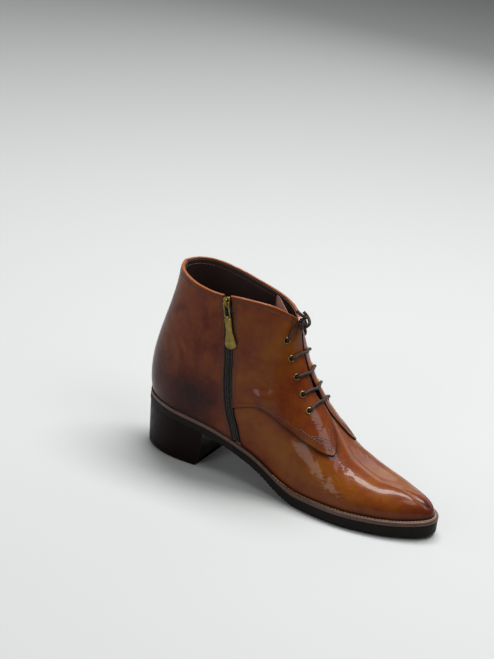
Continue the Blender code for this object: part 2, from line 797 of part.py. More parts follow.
def block(corners_low, corners_high):
    """A closed prism from two outlines of the same number of points."""
    form = bmesh.new()
    low = [form.verts.new(p) for p in to_frame(corners_low)]
    high = [form.verts.new(p) for p in to_frame(corners_high)]
    count = len(low)
    for i in range(count):
        j = (i + 1) % count
        form.faces.new([low[i], low[j], high[j], high[i]])
    form.faces.new(low[::-1])
    form.faces.new(high)
    bmesh.ops.recalc_face_normals(form, faces=form.faces)
    return form


def hoop(points, radius, segments=8):
    """A closed loop of round wire through points that lie in one plane."""
    form = bmesh.new()
    points = np.array(points)
    centre = points.mean(0)
    plane = np.cross(points[1] - points[0], points[2] - points[1])
    plane /= np.linalg.norm(plane)
    rings = []
    for i, point in enumerate(points):
        way = points[(i + 1) % len(points)] - points[i - 1]
        way /= np.linalg.norm(way)
        side = np.cross(way, plane)
        bend = points[(i + 1) % len(points)] - point
        bend /= np.linalg.norm(bend)
        widen = 1 / max(0.7, abs(np.dot(bend, way)))
        ring = [
            point + side * math.cos(a) * radius * widen + plane * math.sin(a) * radius
            for a in (2 * math.pi * (k + 0.5) / segments for k in range(segments))
        ]
        rings.append([form.verts.new(p) for p in to_frame(ring)])
    for i in range(len(rings)):
        one, two = rings[i], rings[(i + 1) % len(rings)]
        for k in range(segments):
            form.faces.new([one[k], one[(k + 1) % segments], two[(k + 1) % segments], two[k]])
    bmesh.ops.recalc_face_normals(form, faces=form.faces)
    return form


def make_zip():
    black = (0.012, 0.011, 0.011)
    tape = ribbon(zip_path(0.048, 0.985, 18), ZIP_WIDTH - 3.2 * GAP, -1.95 * MM, -0.75 * MM)
    add_object("zip_tape", tape, black, 0.8)
    teeth = ribbon(zip_path(0.052, 0.93, 18), 4.6 * MM, -0.45 * MM, 0.35 * MM)
    add_object("zip_teeth", teeth, black, 0.5)


def make_slider():
    brass = (0.30, 0.21, 0.09)
    at = slider_frame()
    outline = [(-2.3, -4.5), (2.3, -4.5), (3.3, 2.6), (2.4, 4.0), (-2.4, 4.0), (-3.3, 2.6)]
    low = [at(a * MM, w * MM, 0.65 * MM) for a, w in outline]
    high = [at(0.86 * a * MM, 0.9 * w * MM, 1.70 * MM) for a, w in outline]
    slider = add_object("zip_slider", block(low, high), brass, 0.35, 1.0)
    arch = [(-2.9, 1.2), (-2.9, 3.5), (-1.8, 4.15), (1.8, 4.15), (2.9, 3.5), (2.9, 1.2)]
    under = [(2.3, 1.2), (2.3, 3.2), (1.5, 3.6), (-1.5, 3.6), (-2.3, 3.2), (-2.3, 1.2)]
    sides = [[at(a * MM, w * MM, n * MM) for w, n in arch + under] for a in (-1.1, 1.1)]
    bridge = bmesh.new()
    rows = [[bridge.verts.new(p) for p in to_frame(side)] for side in sides]
    count = len(rows[0])
    for i in range(count):
        j = (i + 1) % count
        bridge.faces.new([rows[0][i], rows[0][j], rows[1][j], rows[1][i]])
    for row in rows:
        for i in range(5):
            bridge.faces.new([row[i], row[i + 1], row[count - 2 - i], row[count - 1 - i]])
    bmesh.ops.recalc_face_normals(bridge, faces=bridge.faces)
    combine(slider, add_cutter("slider_bridge", bridge), "UNION")


def make_link():
    at = slider_frame()
    half, corner, down = 2.1, 0.5, LINK / MM
    outline = [
        (-half + corner, 0), (half - corner, 0), (half, -corner), (half, -down / 2), (half, corner - down),
        (half - corner, -down), (corner - half, -down), (-half, corner - down), (-half, -down / 2), (-half, -corner),
    ]
    points = [at(a * MM, w * MM, HINGE_OUT) for a, w in outline]
    add_object("zip_link", hoop(points, WIRE), (0.30, 0.21, 0.09), 0.35, 1.0)


def make_pull():
    """The flared pull tab: an eye round the link's lower bar and a flat plate with a round end."""
    at = slider_frame()
    eye_at = at(0, -LINK, HINGE_OUT)
    across = at(MM, 0, 0) - at(0, 0, 0)
    eye = [(0.85 * MM, -1.2 * MM), (1.55 * MM, -1.2 * MM), (1.55 * MM, 1.2 * MM), (0.85 * MM, 1.2 * MM)]
    pull = add_object("zip_pull", turned(eye, eye_at, across, 16), (0.30, 0.21, 0.09), 0.35, 1.0)
    half = [(1.10, 1.05), (1.5, 2.2), (4.0, 2.5), (9.0, 2.7), (14.0, 3.3), (18.5, 4.4), (21.5, 5.0), (24.3, 4.5), (26.0, 2.8), (26.6, 0.9)]
    outline = [(w, -h) for h, w in half] + [(-w, -h) for h, w in half[::-1]]
    rings = []
    for scale, out in ((0.84, -0.62), (1.0, -0.3), (1.0, 0.3), (0.84, 0.62)):
        ring = []
        for a, w in outline:
            inner = a * scale if abs(a) > 1.2 else a
            ring.append(at(inner * MM, w * MM - LINK, HINGE_OUT + out * MM))
        rings.append(ring)
    plate_form = bmesh.new()
    verts = [[plate_form.verts.new(p) for p in to_frame(ring)] for ring in rings]
    count = len(outline)
    for one, two in zip(verts, verts[1:]):
        for i in range(count):
            j = (i + 1) % count
            plate_form.faces.new([one[i], one[j], two[j], two[i]])
    for ring in (verts[0], verts[-1]):
        for i in range(count // 2 - 1):
            plate_form.faces.new([ring[i], ring[i + 1], ring[count - 2 - i], ring[count - 1 - i]])
    bmesh.ops.recalc_face_normals(plate_form, faces=plate_form.faces)
    combine(pull, add_cutter("pull_plate", plate_form), "UNION")


def knot_frame():
    """Axes at the knot over the top bar: across the throat, up along it and out of it."""
    s = EYELETS[0][0]
    path = over_throat(0, 1.25 * MM + GAP + LACE)
    across = path[-1] - path[0]
    across /= np.linalg.norm(across)
    out = normal_at(s, 0.95) + normal_at(2 - s, 0.95)
    out -= across * np.dot(out, across)
    out /= np.linalg.norm(out)
    up = np.cross(out, across)
    if up[2] < 0:
        up = -up
    middle = path[3]
    return lambda a, u, n: middle + across * a + up * u + out * n


def add_cord(name, points):
    """A lace as a curve with a round section."""
    curve = bpy.data.curves.new(name, "CURVE")
    curve.dimensions = "3D"
    curve.bevel_depth = LACE
    curve.bevel_resolution = 2
    curve.use_fill_caps = True
    line = curve.splines.new("POLY")
    line.points.add(len(points) - 1)
    for point, place in zip(line.points, to_frame(points)):
        point.co = (*place, 1.0)
    obj = bpy.data.objects.new(name, curve)
    bpy.context.scene.collection.objects.link(obj)
    material = bpy.data.materials.new(name)
    material.use_nodes = True
    shader = material.node_tree.nodes["Principled BSDF"]
    shader.inputs["Base Color"].default_value = (0.035, 0.022, 0.018, 1)
    shader.inputs["Roughness"].default_value = 0.5
    curve.materials.append(material)
    return obj


def make_knot():
    """An overhand knot from one half of the top bar to the other, and the lace's two short ends."""
    at = knot_frame()
    size = 1.62 * MM
    points = [at(a * MM, 0, n * MM) for a, n in ((-6.98, 2.78), (-6.0, 3.45), (-4.8, 3.5))]
    for k in range(29):
        t = math.pi * (0.5 + 1.5 * k / 28)
        ring = 2 + math.cos(3 * t)
        points.append(at(ring * math.cos(2 * t) * size, ring * math.sin(2 * t) * size * 1.12, math.sin(3 * t) * size + 4.6 * MM))
    points += [at(a * MM, 0, n * MM) for a, n in ((6.0, 3.5), (6.92, 2.8))]
    add_cord("lace_knot", points)
    ends = {
        "lace_end_inner": [(-2.45, 6.35, 4.7), (-4.2, 9.6, 5.2), (-5.6, 12.2, 4.4), (-6.6, 14.2, 2.6)],
        "lace_end_outer": [(2.75, 5.15, 3.5), (4.4, 7.4, 4.9), (6.4, 10.0, 5.2), (8.2, 12.4, 3.8)],
    }
    for name, path in ends.items():
        add_cord(name, smooth_path([at(a * MM, u * MM, n * MM) for a, u, n in path], 8))


def main():
    for obj in list(bpy.data.objects):
        bpy.data.objects.remove(obj)
    make_outsole()
    make_welt()
    make_heel()
    make_insole()
    make_upper()
    make_tongue()
    make_eyelets()
    make_laces()
    make_knot()
    make_zip()
    make_slider()
    make_link()
    make_pull()


main()
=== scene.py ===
"""Left lace up ankle boot in burnished cognac leather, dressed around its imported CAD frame.

Points are worked out in the heel's own frame (heel back at x 0, toe to +X, outer side to +Y) and moved to
the part's frame when a mesh is made.
"""

import math

import bmesh
import bpy
import numpy as np
from mathutils import Matrix, Vector
from mathutils.kdtree import KDTree


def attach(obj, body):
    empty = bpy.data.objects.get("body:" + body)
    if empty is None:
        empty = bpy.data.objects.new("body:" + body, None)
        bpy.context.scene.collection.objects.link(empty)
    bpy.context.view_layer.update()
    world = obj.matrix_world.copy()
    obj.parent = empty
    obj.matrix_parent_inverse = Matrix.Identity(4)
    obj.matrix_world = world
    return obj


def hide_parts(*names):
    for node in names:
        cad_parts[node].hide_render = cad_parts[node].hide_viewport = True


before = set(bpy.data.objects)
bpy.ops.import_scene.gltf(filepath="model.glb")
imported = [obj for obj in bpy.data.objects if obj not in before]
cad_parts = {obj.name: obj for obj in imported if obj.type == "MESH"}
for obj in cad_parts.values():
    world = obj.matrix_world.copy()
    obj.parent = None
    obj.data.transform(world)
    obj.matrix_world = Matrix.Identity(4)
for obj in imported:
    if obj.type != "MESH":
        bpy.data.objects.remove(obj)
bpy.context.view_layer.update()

MM = 0.001

# Sizes of the boot, as in the part's source
LENGTH = 271 * MM
BALL_WIDTH = 90 * MM
SEAT_HEIGHT = 46.5 * MM
INSTEP_HEIGHT = 73 * MM
SHAFT_HEIGHT = 166 * MM
COLLAR_WIDTH = 67 * MM
HEEL_LENGTH = 66 * MM
RUBBER = 8.4 * MM
WELT = 3.8 * MM
WALL = 2.0 * MM
QUARTER_STEP = 1.3 * MM
GAP = 0.3 * MM
TOE_ROUND, TOE_POWER = 88 * MM, 2.15
HEEL_ROUND, HEEL_POWER = 44 * MM, 1.92
ORIGIN = np.array([134.598, 1.565, 0.0]) * MM  # the part's origin in the heel's frame


def smooth_table(names, rows, passes=0):
    """A table as one smooth curve for each named column after the first."""
    data = np.array(rows, float)
    xs = data[:, 0]
    grid = np.linspace(xs[0], xs[-1], 1201)
    curves = {}
    for n, name in enumerate(names):
        if n == 0:
            continue
        ys = data[:, n]
        step, slope = np.diff(xs), np.diff(ys) / np.diff(xs)
        grad = np.zeros(len(xs))
        for i in range(1, len(xs) - 1):
            if slope[i - 1] * slope[i] > 0:
                w1, w2 = 2 * step[i] + step[i - 1], step[i] + 2 * step[i - 1]
                grad[i] = (w1 + w2) / (w1 / slope[i - 1] + w2 / slope[i])
        grad[0], grad[-1] = slope[0], slope[-1]
        i = np.clip(np.searchsorted(xs, grid, side="right") - 1, 0, len(step) - 1)
        t = (grid - xs[i]) / step[i]
        value = (1 + 2 * t) * (1 - t) ** 2 * ys[i] + t * (1 - t) ** 2 * step[i] * grad[i]
        value += t * t * (3 - 2 * t) * ys[i + 1] + t * t * (t - 1) * step[i] * grad[i + 1]
        for _ in range(passes):
            value[1:-1] = (value[:-2] + 2 * value[1:-1] + value[2:]) / 4
        curves[name] = lambda x, value=value: np.interp(x, grid, value)
    return curves


OUTLINE = smooth_table(
    ("along", "centre", "inner", "outer"),
    [
        (0.00, 0.030, 0.365, 0.345),
        (0.16, 0.012, 0.362, 0.350),
        (0.30, 0.000, 0.340, 0.375),
        (0.42, 0.000, 0.335, 0.415),
        (0.55, 0.000, 0.400, 0.470),
        (0.66, 0.000, 0.462, 0.510),
        (0.74, 0.000, 0.480, 0.510),
        (0.85, -0.015, 0.455, 0.455),
        (1.00, -0.050, 0.370, 0.335),
    ],
    600,
)
UNDERSIDE = smooth_table(
    ("along", "height"),
    [
        (0.000, 0.825), (0.110, 0.785), (0.185, 0.740), (0.255, 0.680), (0.330, 0.575), (0.405, 0.425),
        (0.480, 0.225), (0.540, 0.070), (0.590, 0.000), (0.735, 0.000), (0.870, 0.012), (1.000, 0.060),
    ],
    60,
)["height"]
EDGE = smooth_table(
    ("along", "rubber", "welt", "ledge"),
    [
        (0.00, 0.70, 0.95, 1.0 * MM),
        (0.30, 0.72, 0.90, 1.0 * MM),
        (0.46, 0.85, 0.92, 1.4 * MM),
        (0.58, 1.00, 1.00, 3.0 * MM),
        (0.75, 1.06, 1.00, 3.4 * MM),
        (1.00, 1.20, 1.00, 3.6 * MM),
    ],
    200,
)

# The upper's columns as in the part's source: where each leaves the sole and where it ends
UPPER_NAMES = (
    "around", "along", "across", "height", "ahead", "aside", "down", "lean", "hold_low", "hold_top",
)
UPPER = {
    "inner": [
        (0.00, 0.886, 0.000, 0.4385, 1.00, 0.00, 0.29, -6, 0.30, 0.56),
        (0.10, 0.871, 0.000, 0.455, 0.85, 0.55, 0.20, -1, 0.38, 0.52),
        (0.20, 0.819, 0.000, 0.466, 0.50, 0.85, -0.04, 8, 0.43, 0.41),
        (0.30, 0.731, 0.000, 0.556, 0.18, 1.00, -0.18, 14, 0.40, 0.29),
        (0.36, 0.664, 0.000, 0.765, 0.13, 1.00, -0.14, 14, 0.36, 0.21),
        (0.41, 0.601, 0.000, 1.000, 0.12, 1.00, 0.00, 12, 0.33, 0.22),
        (0.46, 0.553, 0.040, 1.145, 0.10, 1.00, 0.22, 10, 0.32, 0.24),
        (0.50, 0.516, 0.040, 1.310, 0.10, 1.00, 0.35, 9, 0.31, 0.28),
        (0.54, 0.484, 0.045, 1.550, 0.08, 1.00, 0.65, 7, 0.30, 0.31),
        (0.57, 0.472, 0.080, 1.755, 0.05, 0.75, 1.00, 5, 0.29, 0.33),
        (0.60, 0.446, 0.230, 1.865, 0.00, 0.35, 1.00, 5, 0.29, 0.35),
        (0.64, 0.402, 0.375, 1.925, 0.00, 0.15, 1.00, 6, 0.29, 0.36),
        (0.70, 0.325, 0.485, 1.945, 0.00, 0.05, 1.00, 8, 0.30, 0.38),
        (0.76, 0.244, 0.500, 1.925, 0.00, 0.00, 1.00, 11, 0.30, 0.40),
        (0.82, 0.174, 0.455, 1.935, -0.02, 0.00, 1.00, 13, 0.31, 0.38),
        (0.88, 0.114, 0.360, 1.968, -0.04, 0.00, 1.00, 15, 0.31, 0.36),
        (0.94, 0.073, 0.190, 1.990, -0.05, 0.00, 1.00, 16, 0.31, 0.35),
        (1.00, 0.058, 0.000, 2.000, -0.05, 0.00, 1.00, 17, 0.31, 0.34),
    ],
    "outer": [
        (0.00, 0.886, 0.000, 0.4385, 1.00, 0.00, 0.29, -6, 0.30, 0.56),
        (0.10, 0.871, 0.000, 0.455, 0.85, 0.55, 0.28, -1, 0.37, 0.46),
        (0.20, 0.819, 0.000, 0.466, 0.50, 0.85, 0.34, 4, 0.38, 0.33),
        (0.30, 0.731, 0.000, 0.556, 0.18, 1.00, 0.38, 5, 0.36, 0.21),
        (0.36, 0.664, 0.000, 0.765, 0.13, 1.00, 0.34, 6, 0.33, 0.18),
        (0.41, 0.601, 0.000, 1.000, 0.12, 1.00, 0.20, 8, 0.33, 0.21),
        (0.46, 0.553, 0.040, 1.145, 0.10, 1.00, 0.22, 10, 0.32, 0.24),
        (0.50, 0.516, 0.040, 1.310, 0.10, 1.00, 0.35, 9, 0.31, 0.28),
        (0.54, 0.484, 0.045, 1.535, 0.08, 1.00, 0.65, 7, 0.30, 0.31),
        (0.57, 0.470, 0.080, 1.690, 0.05, 0.75, 1.00, 5, 0.29, 0.33),
        (0.60, 0.440, 0.215, 1.755, 0.00, 0.35, 1.00, 5, 0.29, 0.35),
        (0.64, 0.398, 0.370, 1.790, 0.00, 0.15, 1.00, 6, 0.29, 0.36),
        (0.70, 0.325, 0.485, 1.832, 0.00, 0.05, 1.00, 8, 0.30, 0.38),
        (0.76, 0.244, 0.500, 1.886, 0.00, 0.00, 1.00, 11, 0.30, 0.40),
        (0.82, 0.174, 0.455, 1.942, -0.02, 0.00, 1.00, 13, 0.31, 0.38),
        (0.88, 0.114, 0.360, 1.983, -0.04, 0.00, 1.00, 15, 0.31, 0.36),
        (0.94, 0.073, 0.190, 1.998, -0.05, 0.00, 1.00, 16, 0.31, 0.35),
        (1.00, 0.058, 0.000, 2.000, -0.05, 0.00, 1.00, 17, 0.31, 0.34),
    ],
}
UPPER = {side: smooth_table(UPPER_NAMES, rows, 150) for side, rows in UPPER.items()}
RIDGE = smooth_table(
    ("along", "across"), [(0.0, 0.0), (0.6, 0.0), (0.72, -0.035), (0.86, -0.070), (1.0, -0.070)], 100
)["across"]
THROAT = 0.41
ZIP = smooth_table(
    ("up", "around"),
    [
        (0.00, 0.588), (0.10, 0.600), (0.18, 0.615), (0.28, 0.632), (0.42, 0.655),
        (0.56, 0.676), (0.70, 0.699), (0.84, 0.719), (1.00, 0.738),
    ],
    300,
)["around"]
ZIP_OPENING = 6.2 * MM  # between the leather's edges, which lie over the slot's
EYELETS = [(0.580, 0.84), (0.547, 0.82), (0.516, 0.82), (0.486, 0.80), (0.456, 0.75)]  # top to bottom


# The form of the boot. A place round it is u: 0 at the toe tip, 1 or -1 at the heel's back, and positive on
# the outer side.


def closing(x):
    heel = np.clip(1 - x / HEEL_ROUND, 0, 1)
    toe = np.clip((x - (LENGTH - TOE_ROUND)) / TOE_ROUND, 0, 1)
    return (1 - heel**HEEL_POWER) ** (1 / HEEL_POWER) * (1 - toe**TOE_POWER) ** (1 / TOE_POWER)


def wrapped(u):
    return (np.asarray(u, float) + 1) % 2 - 1


def outline(u):
    """The outsole's outline."""
    u = wrapped(u)
    x = LENGTH * (1 + np.cos(np.pi * np.abs(u))) / 2
    along = x / LENGTH
    half = np.where(u >= 0, OUTLINE["outer"](along), OUTLINE["inner"](along)) * closing(x)
    y = OUTLINE["centre"](along) + np.where(u >= 0, half, -half)
    return np.stack([x, y * BALL_WIDTH], -1)


def outward(u):
    way = outline(np.asarray(u) + 0.02) - outline(np.asarray(u) - 0.02)
    way /= np.linalg.norm(way, axis=-1, keepdims=True)
    return np.stack([way[..., 1], -way[..., 0]], -1)


def underside(x):
    return UNDERSIDE(x / LENGTH) * SEAT_HEIGHT


def rubber_top(x):
    return underside(x) + EDGE["rubber"](x / LENGTH) * RUBBER


def welt_top(x):
    return rubber_top(x) + EDGE["welt"](x / LENGTH) * WELT


def ledge(x):
    return EDGE["ledge"](x / LENGTH)


def top_of(side, s):
    row = {name: UPPER[side][name](s) for name in ("along", "across", "height")}
    rise = np.minimum(row["height"], 1) * INSTEP_HEIGHT
    rise = rise + np.maximum(row["height"] - 1, 0) * (SHAFT_HEIGHT - INSTEP_HEIGHT)
    sign = 1 if side == "outer" else -1
    across = RIDGE(row["along"]) * BALL_WIDTH + sign * row["across"] * COLLAR_WIDTH
    return np.stack([row["along"] * LENGTH, across, rise], -1)


def leaving(side, s):
    row = [UPPER[side][name](s) for name in ("ahead", "aside", "down")]
    way = np.stack([row[0], row[1] * (1 if side == "outer" else -1), -row[2]], -1)
    if side == "inner":
        outer = leaving("outer", s)
        ridge = top_of("outer", np.maximum(s - 0.015, 0)) - top_of("outer", s + 0.015)
        over = 2 * UPPER["outer"]["ahead"](s)[..., None] * ridge / ridge[..., :1] - outer
        way = np.where((s < THROAT)[..., None], over, way)
    return way


def column(u, t):
    """The upper's outer face: t runs from the sole, 0, to the instep ridge or the top edge, 1."""
    u, t = np.broadcast_arrays(wrapped(u), np.asarray(t, float))
    s = np.abs(u)
    out = outward(u)
    foot = outline(u)
    foot = foot - out * ledge(foot[..., 0])[..., None]
    foot = np.concatenate([foot, (welt_top(foot[..., 0]) + 1.4 * GAP)[..., None]], -1)
    outer = (u >= 0)[..., None]
    top = np.where(outer, top_of("outer", s), top_of("inner", s))
    lean, hold_low, hold_top = (
        np.where(u >= 0, UPPER["outer"][name](s), UPPER["inner"][name](s))
        for name in ("lean", "hold_low", "hold_top")
    )
    chord = np.linalg.norm(top - foot, axis=-1)
    lean = np.radians(lean)
    rising = np.concatenate([out * np.sin(lean)[..., None], np.cos(lean)[..., None]], -1)
    off = np.where(outer, leaving("outer", s), leaving("inner", s))
    off = off / np.linalg.norm(off, axis=-1, keepdims=True)
    low = foot + rising * (hold_low * chord)[..., None]
    high = top + off * (hold_top * chord)[..., None]
    t = t[..., None]
    return (1 - t) ** 3 * foot + 3 * (1 - t) ** 2 * t * low + 3 * (1 - t) * t**2 * high + t**3 * top


def unit(v):
    return v / np.maximum(np.linalg.norm(v, axis=-1, keepdims=True), 1e-12)


def step(x):
    """A smooth rise from 0 to 1."""
    x = np.clip(x, 0, 1)
    return x * x * (3 - 2 * x)


def normal(u, t):
    """The outward direction of the upper's outer face."""
    u, t = np.broadcast_arrays(np.asarray(u, float), np.asarray(t, float))
    late = t > 0.96
    low = np.where(late, 0.94, np.maximum(t - 0.01, 0))
    high = np.where(late, 0.97, np.minimum(t + 0.01, 1))
    rise = column(u, high) - column(u, low)
    around = column(u + 0.006, t) - column(u - 0.006, t)
    return unit(np.cross(around, rise))


def sink(u):
    """How far the wall lies under the quarters' face."""
    return QUARTER_STEP * step((np.abs(wrapped(u)) - 0.43) / 0.17)


def on_wall(u, t, height=0.0):
    """A point over the wall's outer face, where the vamp and the lining meet."""
    return column(u, t) + normal(u, t) * (np.asarray(height) - sink(u))[..., None]


def pulled(u, t):
    """How far the lace pulls the quarters' front edges over the throat, above the flaps."""
    s = np.abs(wrapped(u))
    part = step((s - 0.452) / 0.05) * (1 - step((s - 0.572) / 0.03)) * step((np.asarray(t) - 0.845) / 0.145)
    return np.stack([0 * part, np.where(wrapped(u) < 0, 3.1, -1.7) * part, 0 * part], -1) * MM


def on_quarter(u, t, height=0.0):
    u, t = np.broadcast_arrays(np.asarray(u, float), np.asarray(t, float))
    return on_wall(u, t, np.asarray(height) + QUARTER_STEP) + pulled(u, t)


def settle(points, u, t):
    """The places (u, t) whose points on the quarters' face lie nearest the given points."""
    for _ in range(4):
        above, below = np.minimum(t + 0.01, 1), t - 0.01
        du = (on_quarter(u + 0.004, t) - on_quarter(u - 0.004, t)) / 0.008
        dt = (on_quarter(u, above) - on_quarter(u, below)) / (above - t + 0.01)[..., None]
        miss = points - on_quarter(u, t)
        a, b, c = (du * du).sum(-1), (du * dt).sum(-1), (dt * dt).sum(-1)
        p, q = (du * miss).sum(-1), (dt * miss).sum(-1)
        det = a * c - b * b
        u = u + (p * c - q * b) / det
        t = np.clip(t + (q * a - p * b) / det, 0.0, 1.0)
    return u, t


def lengths(points):
    return np.concatenate([[0], np.cumsum(np.linalg.norm(np.diff(points, axis=0), axis=1))])


def sampled(points, along, at):
    """Points between those of a path, at other distances along it."""
    return np.stack([np.interp(at, along, values) for values in points.T], -1)


def even(points, count):
    along = lengths(points)
    return sampled(points, along, np.linspace(0, along[-1], count))


def spaced(path, distances):
    """Places along a path of places (u, t) at the given distances on the leather."""
    return sampled(path, lengths(on_quarter(path[:, 0], path[:, 1])), distances)


def between(a, b, low, high, at):
    """The value at a place between two others, low and high, that have the values a and b."""
    return a * (high - at) / (high - low) + b * (at - low) / (high - low)


def spline(points, count):
    """A smooth curve through a few points, evenly spaced."""
    p = np.array(points, float)
    p = np.vstack([2 * p[0] - p[1], p, 2 * p[-1] - p[-2]])
    knots = np.concatenate([[0], np.cumsum(np.sqrt(np.linalg.norm(np.diff(p, axis=0), axis=1)))])
    out = []
    for i in range(1, len(p) - 2):
        k = knots[i - 1 : i + 3]
        for v in np.linspace(knots[i], knots[i + 1], 24, endpoint=False):
            a = [between(p[i - 1 + j], p[i + j], k[j], k[j + 1], v) for j in range(3)]
            b = [between(a[j], a[j + 1], k[j], k[j + 2], v) for j in range(2)]
            out.append(between(b[0], b[1], k[1], k[2], v))
    out.append(p[-2])
    return even(np.array(out), count)


# Meshes


def mesh_object(name, points, faces, material, attributes=None, sharp=38, glue=0.0, body="boot"):
    """A named piece from points in the heel's frame. It rides on a body of the frame."""
    mesh = bpy.data.meshes.new(name)
    mesh.from_pydata((np.asarray(points, float).reshape(-1, 3) - ORIGIN).tolist(), [], faces)
    for key, values in (attributes or {}).items():
        layer = mesh.attributes.new(key, "FLOAT", "POINT")
        layer.data.foreach_set("value", np.asarray(values, np.float32).ravel())
    form = bmesh.new()
    form.from_mesh(mesh)
    if glue:
        bmesh.ops.remove_doubles(form, verts=form.verts, dist=glue)
        bmesh.ops.dissolve_degenerate(form, edges=form.edges, dist=1e-7)
    bmesh.ops.recalc_face_normals(form, faces=form.faces)
    form.to_mesh(mesh)
    form.free()
    mesh.shade_smooth()
    mesh.set_sharp_from_angle(angle=math.radians(sharp))
    obj = bpy.data.objects.new(name, mesh)
    bpy.context.scene.collection.objects.link(obj)
    mesh.materials.append(material)
    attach(obj, body)
    return obj


def grid_faces(n, m, start=0, flip=False):
    """Quads of a grid of n by m points."""
    i, j = np.meshgrid(np.arange(n - 1), np.arange(m - 1), indexing="ij")
    k = i + 1
    quads = np.stack([i * m + j, k * m + j, k * m + j + 1, i * m + j + 1], -1).reshape(-1, 4) + start
    return (quads[:, ::-1] if flip else quads).tolist()


def shell_faces(n, m, walls="abcd"):
    """Faces of a closed shell: an outer grid of n by m points, an inner one after it, and walls."""
    size = n * m
    faces = grid_faces(n, m, 0, True) + grid_faces(n, m, size, False)
    if "a" in walls:
        faces += [[j, j + 1, size + j + 1, size + j] for j in range(m - 1)]
    if "b" in walls:
        base = (n - 1) * m
        faces += [[base + j, size + base + j, size + base + j + 1, base + j + 1] for j in range(m - 1)]
    for wall, j in (("c", 0), ("d", m - 1)):
        if wall in walls:
            for i in range(n - 1):
                a, b = i * m + j, (i + 1) * m + j
                quad = [a, b, size + b, size + a]
                faces.append(quad if j else quad[::-1])
    return faces


def ring_faces(rows, n, caps=True):
    """Quads between rings of n points that follow each other, and the first and last ring as faces."""
    faces = []
    for k in range(rows - 1):
        for i in range(n):
            a, b = k * n + i, k * n + (i + 1) % n
            faces.append([a, b, b + n, a + n])
    if caps:
        faces += [list(range(n))[::-1], list(range((rows - 1) * n, rows * n))]
    return faces


def copied(faces, size, count):
    """The faces of one form of so many points, for a number of such forms."""
    return [[v + n * size for v in face] for n in range(count) for face in faces]


def tube_parts(path, radius, segments):
    """Points and faces of a round bar along a path, whose radius may vary."""
    path = np.asarray(path, float)
    ways = unit(np.gradient(path, axis=0))
    side = np.cross(ways[0], [0.31, 0.22, 0.92])
    radii = np.broadcast_to(radius, len(path))
    angles = 2 * np.pi * np.arange(segments) / segments
    rings = []
    for point, way, r in zip(path, ways, radii):
        side = unit(side - way * np.dot(side, way))
        other = np.cross(way, side)
        rings.append(point + (np.outer(np.cos(angles), side) + np.outer(np.sin(angles), other)) * r)
    return np.concatenate(rings), ring_faces(len(rings), segments)


def joined(parts):
    """Several sets of points and faces as one."""
    points, faces, start = [], [], 0
    for part_points, part_faces in parts:
        points.append(np.asarray(part_points))
        faces += [[v + start for v in face] for face in part_faces]
        start += len(part_points)
    return np.concatenate(points), faces


NEAR = np.array([0.0, 0.10, 0.28, 0.55, 1.0]) * MM  # rows by a cut edge, for its rounded rim


def border_spacing(length, count):
    """Distances along a strip of a length: close together at its two ends, even between them."""
    near = NEAR * min(1.0, length / (5 * NEAR[-1]))
    middle = np.linspace(near[-1], length - near[-1], count - 2 * len(near) + 2)
    return np.concatenate([near[:-1], middle, (length - near[:-1])[::-1]])


def panel_grid(low, high, first, rows):
    """Places (u, t) of a leather panel between a low and a high border of as many points.

    The first column follows a border of its own, which the columns after it leave little by little."""
    count = len(low)
    q = np.linspace(0, 1, 41)
    bend = sampled(first, np.linspace(0, 1, len(first)), q) - (low[0] + (high[0] - low[0]) * q[:, None])
    grid = np.zeros((count, rows, 2))
    for j in range(count):
        line = low[j] + (high[j] - low[j]) * q[:, None]
        line = line + bend * max(0.0, 1 - j / (0.45 * count)) ** 2
        along = lengths(on_quarter(line[:, 0], line[:, 1]))
        grid[j] = sampled(line, along, border_spacing(along[-1], rows))
    return grid


def columns_along(path, count, near_start=False):
    """Points of a border path, evenly spaced on the leather, or close together at its start."""
    total = lengths(on_quarter(path[:, 0], path[:, 1]))[-1]
    at = np.linspace(0, total, count)
    if near_start:
        at = np.concatenate([NEAR[:-1], np.linspace(NEAR[-1], total, count - len(NEAR) + 1)])
    return spaced(path, at)


def rim_distance(points, border):
    """How far each point lies from a border line."""
    tree = KDTree(len(border))
    for i, p in enumerate(border):
        tree.insert(p, i)
    tree.balance()
    return np.array([tree.find(p)[2] for p in points.reshape(-1, 3)]).reshape(points.shape[:-1])


# The back panel's seam on the outer side, from the collar down and back to the heel
BACK_SEAM = [
    (0.800, 0.985), (0.792, 0.80), (0.790, 0.60), (0.800, 0.42), (0.826, 0.24), (0.862, 0.10), (0.900, 0.02),
]

